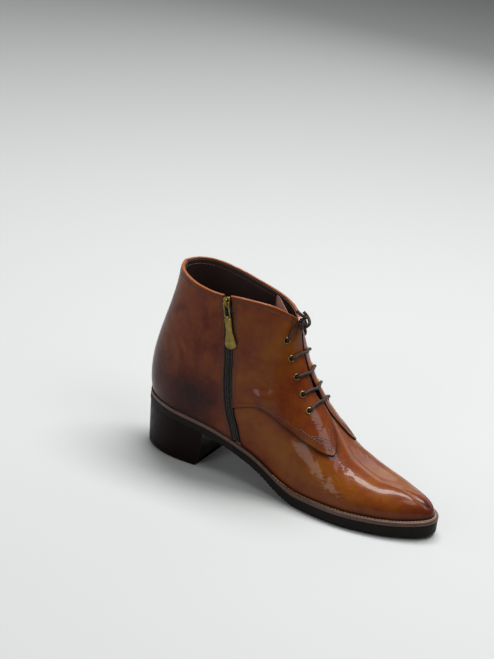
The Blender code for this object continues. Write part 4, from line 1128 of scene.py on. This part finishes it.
def offset_line(border, distance):
    """The line on the quarters' face that runs at a distance from a border of places (u, t)."""
    path = np.array(border, float)
    points = on_quarter(path[:, 0], path[:, 1])
    out = normal(path[:, 0], path[:, 1])
    way = unit(np.gradient(points, axis=0))
    target = points + np.cross(out, way) * distance
    u, t = settle(target, path[:, 0], path[:, 1])
    return np.stack([u, t], -1)


def raised(path):
    """Points and normals of a line of places on the quarters, with the leather's own relief."""
    points = on_quarter(path[:, 0], path[:, 1])
    out = normal(path[:, 0], path[:, 1])
    return points + out * (relief(points) + waves(points))[:, None], out


def inside_line(border, distance, inside):
    """The line at a distance from a border of places, on the same side of it as a place inside the panel."""
    goal = on_quarter(np.array(inside[0]), np.array(inside[1]))
    rows = [offset_line(border, distance), offset_line(border, -distance)]
    middle = len(border) // 2
    return min(rows, key=lambda row: np.linalg.norm(on_quarter(row[middle, 0], row[middle, 1]) - goal))


def stitched(rows, name, material, length, gap, radius, rise):
    """One piece of stitching along several lines of places, and painted shade in its needle holes."""
    parts, holes = [], []
    for row in rows:
        points, out = raised(row)
        stitch_points, stitch_faces, pitch = stitch_parts(points, out, length, gap, radius, rise)
        parts.append((stitch_points, stitch_faces))
        holes.append(hole_shade_parts(points, out, pitch, radius * 1.05))
    for piece, kind, finish in ((parts, "", material), (holes, "_holes", HOLE_SHADE)):
        mesh_object(name + kind, *joined(piece), finish)


def part_of(row, start, end):
    """The part of a line of places between two distances along it."""
    return spaced(row, np.linspace(start, end, max(4, int((end - start) / (0.8 * MM)))))


dark_rows, tan_rows = [], []
for sign, low_border in ((-1, low_line), (1, outer_low)):
    turn = np.array([sign, 1.0])
    low_border, front_border = low_border * turn, front_line * turn
    if sign < 0:
        low_border = low_border[low_border[:, 0] > zip_corner[0] + 0.002]
    low_length = lengths(on_quarter(low_border[:, 0], low_border[:, 1]))[-1]
    border = np.vstack([low_border[::-1][:-1], front_border])[::3]
    row = inside_line(border, 4.2 * MM, (0.50 * sign, 0.7))
    total = lengths(on_quarter(row[:, 0], row[:, 1]))[-1]
    dark_rows.append(part_of(row, 1 * MM, total - 34 * MM))
    # the stitched triangle at the flap's tip, and the bar that closes it, in two rows
    row = inside_line(border, 6.4 * MM, (0.50 * sign, 0.7))
    tip = low_length - 5 * MM
    tan_rows.append(part_of(row, tip - 30 * MM, tip + 27 * MM))
    for shift in (0.0, 2.2 * MM):
        ends = spaced(row, np.array([tip - 17 * MM - shift, tip + 15 * MM + shift]))
        tan_rows.append(ends[0] + (ends[1] - ends[0]) * np.linspace(0, 1, 40)[:, None])
high_path = [path[start:end] for path, start, end in zip(high_stations, (8, 0, 1), (-1, 100, 55))]
high_path = np.vstack([high_path[0], high_path[1] - [2.0, 0.0], high_path[2] - [2.0, 0.0]])[::3]
dark_rows.append(inside_line(collar[12:-6:3], 4.4 * MM, (-0.62, 0.5)))
dark_rows.append(inside_line(high_path, 4.4 * MM, (-1.0, 0.5)))
for distance in (1.2 * MM, 3.7 * MM):
    for edge, inside in ((zip_front_full[150:488:4], (-0.60, 0.6)), (zip_back[14:488:4], (-0.80, 0.6))):
        row = inside_line(edge, distance, inside)
        dark_rows.append(row[(row[:, 1] > 0.012) & (row[:, 1] < 0.955)])
for distance in (1.3 * MM, 3.4 * MM):
    dark_rows.append(inside_line(place_line(BACK_SEAM, 200), distance, (0.95, 0.6)))
stitched(tan_rows, "flap_stitching", TAN_THREAD, 1.9 * MM, 0.6 * MM, 0.36 * MM, 0.18 * MM)
stitched(dark_rows, "quarter_stitching", DARK_THREAD, 1.7 * MM, 0.7 * MM, 0.32 * MM, 0.12 * MM)
# Inside, a row under the lining's top edge
lining_row = level_line(-0.80, -1.42, 0.955, 300)
lining_points = on_wall(lining_row[:, 0], lining_row[:, 1], -2.05 * MM)
lining_in = -normal(lining_row[:, 0], lining_row[:, 1])
lining_stitches = stitch_parts(lining_points, lining_in, 1.9 * MM, 0.7 * MM, 0.30 * MM, 0.12 * MM)[:2]
mesh_object("lining_stitching", *lining_stitches, TAN_THREAD)

# Eyelets: rolled brass rings with a dark wash


def turned_parts(profile, centre, axis, segments):
    axis = unit(np.asarray(axis))
    side = unit(np.cross(axis, [0.0, 0.0, 1.0]))
    other = np.cross(axis, side)
    n = len(profile)
    points, faces = [], []
    for i in range(segments):
        a = 2 * math.pi * i / segments
        ray = side * math.cos(a) + other * math.sin(a)
        points += [centre + ray * r + axis * h for r, h in profile]
    for i in range(segments):
        j = (i + 1) % segments
        for k in range(n):
            m = (k + 1) % n
            faces.append([i * n + k, j * n + k, j * n + m, i * n + m])
    return np.array(points), faces


RING = [
    (1.80, -2.9), (1.98, -2.9), (2.00, -0.1), (2.90, -0.05), (2.98, 0.15), (2.90, 0.42), (2.62, 0.66),
    (2.32, 0.72), (2.02, 0.60), (1.84, 0.35), (1.80, 0.0),
]
parts = []
for side in ("inner", "outer"):
    for index in range(len(EYELETS)):
        parts.append(turned_parts([(r * MM, h * MM) for r, h in RING], *eyelet(side, index), 32))
eyelets = mesh_object("eyelets", *joined(parts), BRASS)
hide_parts(*[f"eyelet_{side}_{n}" for side in ("inner", "outer") for n in range(1, 6)])

# Laces: bars pulled tight over the facings, through the eyelets

LACE = 1.30 * MM  # radius, drawn out thinner than the slack cord
SQUARE = 0.018  # how much nearer the toe a bar crosses the quarters' edges, square to the throat's slope
RESTING = LACE + 0.15 * MM


def taut(index):
    """The tightest line over the two quarters' edges from the inner to the outer eyelet of a row."""
    s_at, t_at = EYELETS[index]
    lean = SQUARE if index else 0.0
    share = np.linspace(0, 1, 26)
    ts, ss = t_at + (0.99 - t_at) * share, s_at - lean * share
    points = np.concatenate([on_quarter(-ss, ts, RESTING), on_quarter(ss, ts, RESTING)[::-1]])
    across = unit(points[-1] - points[0])
    out = normal(np.array(-s_at), np.array(0.95)) + normal(np.array(s_at), np.array(0.95))
    out = unit(out - across * np.dot(out, across))
    flat = np.stack([(points - points[0]) @ across, (points - points[0]) @ out], -1)
    hull = []
    for k in np.argsort(flat[:, 0]):
        while len(hull) > 1:
            a, b, c = flat[hull[-2]], flat[hull[-1]], flat[k]
            if (b[0] - a[0]) * (c[1] - a[1]) - (b[1] - a[1]) * (c[0] - a[0]) < 0:
                break
            hull.pop()
        hull.append(int(k))
    return points[hull], across, out


def into(side, index, towards):
    """The lace's way from inside the boot up through an eyelet's hole, past its ring and towards a point."""
    place, out = eyelet(side, index)
    way = towards - place
    way = unit(way - out * np.dot(way, out))
    steps = ((0.1, -3.4), (0.35, -1.2), (0.9, 0.7), (2.3, 1.75))
    return [place + way * along * MM + out * up * MM for along, up in steps]


def rounded(path, near):
    """A path's points that keep clear of its two ends."""
    inside = even(path, 15)
    along = lengths(inside)
    return inside[(along > near) & (along < along[-1] - near)]


parts = []
for index in range(1, 5):
    body = rounded(taut(index)[0], 4.2 * MM)
    path = [*into("inner", index, body[0]), *body, *into("outer", index, body[-1])[::-1]]
    parts.append(tube_parts(spline(path, 80), LACE, 14))
# Inside, hidden runs from row to row
for sign, side, pairs in ((-1, "inner", ((4, 3), (2, 1))), (1, "outer", ((3, 2), (1, 0)))):
    for low_row, high_row in pairs:
        (a, a_out), (b, b_out) = eyelet(side, low_row), eyelet(side, high_row)
        s_mid, t_mid = (sum(values) / 2 for values in zip(EYELETS[low_row], EYELETS[high_row]))
        middle = on_quarter(np.array(s_mid * sign), np.array(t_mid), -5.0 * MM)
        run = [a - a_out * 3.3 * MM, a - a_out * 4.6 * MM, middle, b - b_out * 4.6 * MM, b - b_out * 3.3 * MM]
        parts.append(tube_parts(spline(run, 30), LACE, 12))
bars = mesh_object("lace_bars", *joined(parts), LACE_CORD)
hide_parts("lace_bar_2", "lace_bar_3", "lace_bar_4", "lace_bar_5")

# The knot's own axes, as in the part's source: across the throat, up along it and out of it, in millimetres
s_top = EYELETS[0][0]
top_bar = [on_wall(np.array(sign * s_top), np.array(0.99), QUARTER_STEP + 3.0 * MM) for sign in (-1, 1)]
knot_across = unit(top_bar[1] - top_bar[0])
knot_out = normal(np.array(-s_top), np.array(0.95)) + normal(np.array(s_top), np.array(0.95))
knot_out = unit(knot_out - knot_across * np.dot(knot_out, knot_across))
knot_up = np.cross(knot_out, knot_across)
knot_up = knot_up * np.sign(knot_up[2])


KNOT = -4.6, -1.8, -0.3  # the knot's middle, a little to the inner side of the throat's


def knot_at(a, up, out):
    """A place by the knot."""
    a, up, out = np.array((a, up, out)) + KNOT
    return (top_bar[0] + top_bar[1]) / 2 + (knot_across * a + knot_up * up + knot_out * out) * MM


starts = {"inner": knot_at(-5.4, 0.6, 0.9), "outer": knot_at(5.4, 0.6, 0.9)}
halves = []
for side, sign in (("inner", -1), ("outer", 1)):
    over = on_quarter(np.array(sign * 0.581), np.array(0.935), RESTING)
    turn_in = [] if sign < 0 else [knot_at(11.0, 1.6, -0.6)]
    path = [*into(side, 0, over), over, *turn_in, starts[side]]
    halves.append(tube_parts(spline(path, 40), LACE, 14))
halves = mesh_object("lace_halves", *joined(halves), LACE_CORD)
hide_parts("lace_top_inner", "lace_top_outer")

# A reef knot drawn up tight: each half turns back round the other and ends short on its own side
STRANDS = {
    "inner": [
        (-3.8, 0.7, 1.8), (0.2, -1.9, 4.3), (4.0, -3.1, 4.0), (5.9, -0.5, 2.9), (4.7, 3.1, 2.2),
        (1.2, 4.2, 4.3), (-3.1, 4.0, 5.6), (-5.9, 5.2, 4.3), (-7.6, 7.3, 2.0), (-7.8, 9.4, 0.2),
    ],
    "outer": [
        (4.0, 1.2, 0.0), (0.5, 2.6, 0.9), (-3.3, 1.9, 4.3), (-5.4, -1.4, 3.8), (-4.0, -4.5, 2.5),
        (-0.2, -5.0, 1.6), (3.1, -0.9, 6.7), (5.2, 3.8, 5.4), (5.9, 6.6, 3.4), (5.2, 9.2, 1.3),
    ],
}


def cord_piece(side):
    """One half of the knot as a cord, to its cut end."""
    points = spline([starts[side], *(knot_at(*place) for place in STRANDS[side])], 90)
    curve = bpy.data.curves.new(f"lace_strand_{side}", "CURVE")
    curve.dimensions = "3D"
    curve.bevel_depth = LACE
    curve.bevel_resolution = 5
    curve.use_fill_caps = True
    line = curve.splines.new("POLY")
    line.points.add(len(points) - 1)
    for point, place in zip(line.points, points - ORIGIN):
        point.co = (*place, 1.0)
    curve.materials.append(LACE_CORD)
    strand = bpy.data.objects.new(f"lace_strand_{side}", curve)
    bpy.context.scene.collection.objects.link(strand)
    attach(strand, "boot")
    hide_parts("lace_knot", f"lace_end_{side}")


for side in ("inner", "outer"):
    cord_piece(side)

# Zip: tape, coil, slider, link and pull


def zip_frames(low, high, count):
    """Points along the middle of the zip, with its way, the way out of it and the way across it."""
    ts = np.linspace(low, high, count)
    us = -ZIP(ts)
    here = on_quarter(us, ts)
    way = unit(np.gradient(here, axis=0))
    out = normal(us, np.clip(ts, 0, 1))
    across = unit(np.cross(out, way))
    out = np.cross(way, across)
    return here, way, out, across


def ribbon_parts(frames, reach, low, high):
    """A strip along a line, from one side of it to the other and between two heights."""
    here, _, out, across = frames
    offsets = np.linspace(-reach, reach, 6)
    grids = [np.stack([here + across * a + out * h for a in offsets], 1).reshape(-1, 3) for h in (high, low)]
    return np.concatenate(grids), shell_faces(len(here), len(offsets))


tape = ribbon_parts(zip_frames(0.006, 0.985, 160), 4.6 * MM, -2.0 * MM, -1.45 * MM)
tape = mesh_object("zip_tape_cloth", *tape, TAPE)
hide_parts("zip_tape")
line = zip_frames(0.012, 0.955, 900)
zip_length = lengths(line[0])
pitch = 1.45 * MM
# A tooth's places across the zip and out of it, with its radius there, in millimetres
TOOTH = [(-0.35, 0.00, 0.30), (0.0, 0.16, 0.42), (1.2, 0.22, 0.34), (2.2, 0.05, 0.30)]
parts = []
for n in range(int(zip_length[-1] / pitch * 2)):
    at = (n + 0.5) * pitch / 2
    k = min(int(np.searchsorted(zip_length, at)), 899)
    here, _, out, across = (values[k] for values in line)
    side = 1 if n % 2 else -1
    path = np.array([here + across * side * a * MM + out * (h - 0.85) * MM for a, h, _ in TOOTH])
    parts.append(tube_parts(path, [r * MM for _, _, r in TOOTH], 6))
here, _, out, across = line
for side in (-1, 1):
    parts.append(tube_parts((here + across * side * 2.3 * MM - out * 0.75 * MM)[::6], 0.42 * MM, 6))
coil = mesh_object("zip_coil", *joined(parts), COIL)
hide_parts("zip_teeth")

SLIDER_AT = 0.958
HINGE_OUT, LINK = 2.65, 12.0  # the hinges' height over the zip and the distance between them, in millimetres
slider_frames = zip_frames(SLIDER_AT - 0.02, SLIDER_AT + 0.02, 3)
zip_here, zip_way, zip_out, zip_across = (v[1] for v in slider_frames)


def zip_at(a, w, n):
    """A place by the slider: across the zip, up along it and out of it, in millimetres."""
    return zip_here + (zip_across * a + zip_way * w + zip_out * n) * MM


def bevelled(obj, width):
    bevel = obj.modifiers.new("bevel", "BEVEL")
    bevel.width = width * MM
    bevel.segments = 2
    bevel.limit_method = "ANGLE"
    bevel.angle_limit = math.radians(35)
    return obj


def prism_parts(low, high):
    """A solid between two outlines of as many points."""
    return np.array([*low, *high]), ring_faces(2, len(low))


half = [(2.3, -4.6), (2.7, -2.0), (3.4, 2.4), (2.6, 4.1), (0.9, 4.4)]
shape = [(-2.3, -4.6)] + half + [(-a, w) for a, w in half[:0:-1]]
top_plate = prism_parts(
    [zip_at(a, w, -0.15) for a, w in shape], [zip_at(0.9 * a, 0.93 * w, 1.55) for a, w in shape]
)
arch = [(-2.9, 1.2), (-2.9, 3.2), (-2.3, 3.9), (-1.6, 4.2), (1.6, 4.2), (2.3, 3.9), (2.9, 3.2), (2.9, 1.2)]
arch += [(2.2, 1.2), (2.2, 2.9), (1.5, 3.5), (-1.5, 3.5), (-2.2, 2.9), (-2.2, 1.2)]
bridge = prism_parts(*([zip_at(a, w, n) for w, n in arch] for a in (-1.0, 1.0)))
slider = bevelled(mesh_object("zip_slider_body", *joined([top_plate, bridge]), BRASS), 0.28)
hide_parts("zip_slider")


def frame_parts(outer_shape, inner_shape, low, high):
    """An open frame between two outlines and two heights."""
    n = len(outer_shape)
    points = [zip_at(a, w, h) for h in (low, high) for ring in (outer_shape, inner_shape) for a, w in ring]
    faces = []
    for i in range(n):
        j = (i + 1) % n
        faces.append([2 * n + i, 2 * n + j, 3 * n + j, 3 * n + i])
        faces.append([i, n + i, n + j, j])
        faces.append([i, j, 2 * n + j, 2 * n + i])
        faces.append([n + i, 3 * n + i, 3 * n + j, n + j])
    return np.array(points), faces


def rounded_box(half, top, bottom, corner):
    ring = []
    for (cx, cy), start in (
        ((half - corner, top - corner), 0), ((-half + corner, top - corner), 90),
        ((-half + corner, bottom + corner), 180), ((half - corner, bottom + corner), 270),
    ):
        for k in range(5):
            a = math.radians(start + 90 * k / 4)
            ring.append((cx + corner * math.cos(a), cy + corner * math.sin(a)))
    return ring


link = frame_parts(rounded_box(2.75, 0.55, -12.55, 0.9), rounded_box(1.55, -0.5, -11.5, 0.4), 2.15, 3.15)
link = bevelled(mesh_object("zip_link_frame", *link, BRASS, body="link"), 0.2)
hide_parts("zip_link")

# The tab's half outline, from the eye down, and how far its rounded faces draw in at each height
half = [
    (2.5, 0.9), (3.0, 1.5), (3.1, 3.0), (2.95, 6.0), (2.85, 10.0), (3.2, 13.5), (4.0, 17.5), (4.75, 20.5),
    (5.0, 22.4), (4.6, 24.3), (3.4, 25.8), (1.7, 26.6), (0.0, 26.75),
]
half = spline(half, 40)
rim = [(w, -h) for w, h in half] + [(-w, -h) for w, h in half[:-1][::-1]]
TAB_LEVELS = [
    (0.80, -0.50), (0.96, -0.42), (1.0, -0.15), (1.0, 0.20),
    (0.95, 0.48), (0.80, 0.62), (0.5, 0.72), (0.2, 0.76),
]
TAB_MIDDLE = -14.0  # down the tab from its eye
points = []
for scale, height in TAB_LEVELS:
    squeeze = 1 - (1 - scale) * 0.35
    for a, w in rim:
        points.append(zip_at(a * scale, TAB_MIDDLE + (w - TAB_MIDDLE) * squeeze - LINK, HINGE_OUT + height))
tab = np.array(points), ring_faces(len(TAB_LEVELS), len(rim))
eye = [(0.75, -1.45), (1.6, -1.45), (1.75, 0.0), (1.6, 1.45), (0.75, 1.45)]
eye = turned_parts([(r * MM, h * MM) for r, h in eye], zip_at(0, -LINK, HINGE_OUT), zip_across, 24)
pull = mesh_object("zip_pull_tab", *joined([tab, eye]), BRASS, body="pull")
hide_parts("zip_pull")

# Tongue: a leaf under the throat, its top standing up between the quarters' front corners
tongue_reach = smooth_table(
    ("around", "width"),
    [(0.385, 0.14), (0.41, 0.20), (0.45, 0.26), (0.50, 0.27), (0.54, 0.25), (0.572, 0.22)],
)["width"]
steps = np.linspace(0, 1, 9)
rows_out, rows_in = [], []
for s_at in np.linspace(0.392, 0.572, 40):
    width = tongue_reach(s_at)
    near, far = [], []
    for side, order in ((-1, steps), (1, steps[::-1])):
        t_row = 0.99 - width * (1 - order)
        depth = 3.6 * MM + 1.4 * MM * np.clip((s_at - 0.42) / 0.05, 0, 1)
        u_row = np.full_like(t_row, side * s_at)
        near.append(on_wall(u_row, t_row, -depth))
        far.append(on_wall(u_row, t_row, -depth - 1.6 * MM))
    rows_out.append(np.concatenate(near))
    rows_in.append(np.concatenate(far))
rise = np.array([-0.60, -0.08, 0.79])
across_share = np.linspace(0, 1, 18)
# the top is cut at a slant: low on the inner side, its high corner by the outer quarter
top_lift = (20.0 + 5.5 * step(across_share / 0.6) - 5.0 * step((across_share - 0.7) / 0.3)) * MM
last_out, last_in = rows_out[-1], rows_in[-1]
for part_up in np.linspace(0.1, 1.0, 10):
    for rows_list, last_row in ((rows_out, last_out), (rows_in, last_in)):
        centre = (last_row[8] + last_row[9]) / 2
        narrow = 1 - 0.08 * part_up
        rows_list.append(centre + (last_row - centre) * narrow + rise * (top_lift * part_up)[:, None])
tongue_out, tongue_in = np.array(rows_out), np.array(rows_in)
n, m = tongue_out.shape[:2]
edge_mark = np.zeros((n, m))
edge_mark[-3:] = 1.0
edge_mark[:, 0] = edge_mark[:, -1] = 1.0
tongue_points = np.concatenate([tongue_out.reshape(-1, 3), tongue_in.reshape(-1, 3)])
edge_mark = {"raw": np.concatenate([edge_mark.ravel(), edge_mark.ravel()])}
tongue = mesh_object("tongue_leaf", tongue_points, shell_faces(n, m), TONGUE, edge_mark)
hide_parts("tongue")

# Sole: outsole, welt, insole and heel block


def ring_points(us, inset, height):
    """The outline drawn in by an inset, at a height; both may be a number or depend on x."""
    base = outline(us)
    width = inset(base[:, 0]) if callable(inset) else inset
    base = base - outward(us) * np.broadcast_to(width, len(base))[:, None]
    level = height(base[:, 0]) if callable(height) else height
    return np.column_stack([base, np.broadcast_to(level, len(base))])


def slab_parts(us, layers):
    """A closed plate from rings of the outline, lowest first; us runs round with the toe tip first."""
    rings = [ring_points(us, inset, height) for inset, height in layers]
    n = len(us)
    faces = ring_faces(len(rings), n, False)
    for k, flip in ((0, True), (len(rings) - 1, False)):
        for i in range(n // 2):
            quad = [k * n + v for v in (i, i + 1, n - i - 1, (n - i) % n)]
            quad = list(dict.fromkeys(quad))
            faces.append(quad[::-1] if flip else quad)
    return np.concatenate(rings), faces


def sole_turns(step):
    """Places round the outline at matching x on both sides, a step apart along the boot."""
    ends = np.linspace(0, 0.16, 26)[1:]
    reach = (LENGTH * (1 + math.cos(math.pi * end)) / 2 for end in (0.16, 0.84))
    middle_xs = np.arange(*reach, -step)
    middle_us = np.arccos(2 * middle_xs / LENGTH - 1) / np.pi
    half_us = np.concatenate([[0.0], ends, middle_us[1:], 1 - ends[::-1], [1.0]])
    return np.concatenate([half_us, -half_us[1:-1][::-1]])


PITCH = 3.3 * MM
turns_fine = sole_turns(PITCH / 6)


def tread(x):
    """Cross grooves under the forefoot, which give the outsole its finely serrated lower edge."""
    phase = (x / PITCH) % 1.0
    groove = np.clip(1.4 - np.abs(phase - 0.5) / 0.16, 0, 1)
    reach = np.clip((x - 118 * MM) / (6 * MM), 0, 1) * np.clip((LENGTH - 3 * MM - x) / (4 * MM), 0, 1)
    return 0.85 * MM * groove * reach


outsole = slab_parts(
    turns_fine,
    [
        (0.9 * MM, lambda x: underside(x) + tread(x)),
        (0.35 * MM, lambda x: underside(x) + 0.3 * MM + 0.9 * tread(x)),
        (0.05 * MM, lambda x: underside(x) + 0.9 * MM + 0.5 * tread(x)),
        (0.0, lambda x: underside(x) + 2.2 * MM),
        (0.15 * MM, lambda x: rubber_top(x) - 1.6 * MM),
        (0.0, lambda x: rubber_top(x) - 0.7 * MM),
        (0.45 * MM, lambda x: rubber_top(x) - 0.10 * MM),
    ],
)
outsole = mesh_object("outsole_rubber", *outsole, OUTSOLE, sharp=30)
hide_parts("outsole")

turns = sole_turns(1.6 * MM)
welt = slab_parts(
    turns,
    [
        (0.55 * MM, lambda x: rubber_top(x) + 0.02 * MM),
        (0.10 * MM, lambda x: rubber_top(x) + 0.35 * MM),
        (0.0, lambda x: rubber_top(x) + 1.0 * MM),
        (0.0, lambda x: welt_top(x) - 1.1 * MM),
        (0.18 * MM, lambda x: welt_top(x) - 0.45 * MM),
        (0.6 * MM, lambda x: welt_top(x) - 0.08 * MM),
        (1.0 * MM, lambda x: welt_top(x)),
    ],
)
welt = mesh_object("welt_strip", *welt, WELT_LEATHER, sharp=40)
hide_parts("welt")

welt_u = np.linspace(-0.50, 0.52, 700)
welt_line = ring_points(
    welt_u, lambda x: np.clip(ledge(x) - 1.25 * MM, 0.9 * MM, None), lambda x: welt_top(x) + 0.02 * MM
)
welt_out = unit(np.column_stack([outward(welt_u) * 0.25, np.ones(len(welt_u))]))
welt_stitches = stitch_parts(welt_line, welt_out, 2.1 * MM, 0.7 * MM, 0.36 * MM, 0.16 * MM)[:2]
welt_stitches = mesh_object("welt_stitching", *welt_stitches, CREAM_THREAD)


def insole_inset(x):
    return ledge(x) + WALL + 1.6 * MM


insole = slab_parts(
    turns,
    [
        (insole_inset, lambda x: welt_top(x) + 0.25 * MM),
        (insole_inset, lambda x: welt_top(x) + 2.4 * MM),
        (lambda x: insole_inset(x) + 0.8 * MM, lambda x: welt_top(x) + 3.3 * MM),
    ],
)
insole = mesh_object("insole_sock", *insole, SOCK)
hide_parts("insole")

# Heel block: the seat's outline drawn in towards the floor, with a slightly hollow breast
count, across_count = 60, 13
levels = [0.0, 0.012, 0.03, 0.15, 0.30, 0.45, 0.60, 0.75, 0.855, 0.862, 0.868, 0.93, 0.985, 1.0]
tuck = [0.35, 0.1, 0.0, 0, 0, 0, 0, 0, 0.0, 0.28, 0.0, 0.0, 0.25, 0.8]
rings = []
for down, pull_in in zip(levels, tuck):
    taper = 1 - 0.075 * down**0.8
    ring = []
    for sign, order in ((1, range(count, -1, -1)), (-1, range(1, count + 1))):
        for j in order:
            x = HEEL_LENGTH * (1 - math.cos(math.pi * j / count)) / 2 + 1.0 * MM
            u = sign * math.acos(2 * x / LENGTH - 1) / math.pi
            edge_y = float(outline(np.array(u))[1])
            y = edge_y - 0.8 * MM * sign if j else float(outline(np.array(1.0))[1])
            ahead = x / HEEL_LENGTH
            moved = x + down * (2.6 * MM * (1 - ahead) - 4.0 * MM * ahead**3)
            z = (1 - down) * (float(underside(np.array(x))) - GAP)
            ring.append((moved, y * taper, z))
    ends = np.array(ring[-1]), np.array(ring[0])
    for j in range(1, across_count):
        k = j / across_count
        x, y, z = ends[0] * (1 - k) + ends[1] * k
        ring.append((x - 1.6 * MM * 4 * k * (1 - k), y, z))
    ring = np.array(ring)
    centre = ring.mean(0)
    way = unit(ring[:, :2] - centre[:2])
    ring[:, :2] -= way * pull_in * MM
    rings.append(ring)
total = len(rings[0])
faces = ring_faces(len(rings), total, False)
for k, flip in ((0, False), (len(rings) - 1, True)):
    base = k * total
    for j in range(count):
        quad = list(dict.fromkeys([base + j, base + j + 1, base + 2 * count - j - 1, base + 2 * count - j]))
        faces.append(quad[::-1] if flip else quad)
    breast = [base, base + 2 * count] + [base + 2 * count + 1 + j for j in range(across_count - 1)]
    faces.append(breast[::-1] if flip else breast)
heel = mesh_object("heel_block_body", np.concatenate(rings), faces, HEEL, sharp=32)
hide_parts("heel_block")

# Camera at the photograph's angle to the boot

AZIMUTH, ELEVATION, ROLL, DISTANCE = math.radians(24.85), math.radians(22.03), math.radians(7.81), 1309.5 * MM
LOOK = Vector((-45.2, -20.8, 129.7)) * MM
back_way = Vector(
    (math.sin(AZIMUTH) * math.cos(ELEVATION), -math.cos(AZIMUTH) * math.cos(ELEVATION), math.sin(ELEVATION))
)
right_way = Vector((math.cos(AZIMUTH), math.sin(AZIMUTH), 0))
up_way = back_way.cross(right_way)
rolled_right = right_way * math.cos(ROLL) + up_way * math.sin(ROLL)
rolled_up = up_way * math.cos(ROLL) - right_way * math.sin(ROLL)
camera_data = bpy.data.cameras.new("camera")
camera = bpy.data.objects.new("camera", camera_data)
bpy.context.scene.collection.objects.link(camera)
turn = Matrix((rolled_right, rolled_up, back_way)).transposed().to_4x4()
camera.matrix_world = Matrix.Translation(LOOK + back_way * DISTANCE) @ turn
camera_data.sensor_fit = "VERTICAL"
camera_data.sensor_height = 24.0
FOCAL, PICTURE_HEIGHT = 1622, 659  # in the photograph's pixels
camera_data.lens = FOCAL / PICTURE_HEIGHT * 24.0
camera_data.clip_end = 20
bpy.context.scene.camera = camera

# Floor and light

floor_mesh = bpy.data.meshes.new("floor")
floor_mesh.from_pydata([(-4, -4, 0), (4, -4, 0), (4, 8, 0), (-4, 8, 0)], [], [(0, 1, 2, 3)])
floor = bpy.data.objects.new("floor", floor_mesh)
floor.location.z = -0.0004
bpy.context.scene.collection.objects.link(floor)
floor_mesh.materials.append(surface("pale_floor", "#a4a6a5", 0.8, Specular_IOR_Level=0.1)[0])


def softbox(name, place, aim, size, power):
    light = bpy.data.lights.new(name, "AREA")
    light.shape = "RECTANGLE"
    light.size, light.size_y = size
    light.energy = power
    obj = bpy.data.objects.new(name, light)
    obj.location = place
    obj.rotation_euler = (Vector(place) - Vector(aim)).to_track_quat("Z", "Y").to_euler()
    bpy.context.scene.collection.objects.link(obj)


softbox("top_softbox", (0.0, 0.45, 1.75), (0, 0, 0.05), (1.6, 0.55), 64)
softbox("back_screen", (0.1, 1.6, 0.62), (0, 0, 0.1), (1.9, 0.5), 6)
softbox("front_window", (-0.38, -1.42, 0.60), (0, 0, 0.08), (0.40, 0.90), 5.5)
softbox("left_softbox", (-1.45, -0.65, 0.38), (0, 0, 0.1), (0.5, 0.7), 5)
softbox("right_window", (0.85, -0.26, 1.33), (0.02, 0, 0.06), (0.75, 0.6), 8)
world = bpy.data.worlds.new("studio")
world.use_nodes = True
world.node_tree.nodes["Background"].inputs["Color"].default_value = linear("#f2f4f5")
world.node_tree.nodes["Background"].inputs["Strength"].default_value = 0.12
bpy.context.scene.world = world
bpy.context.scene.view_settings.view_transform = "Standard"
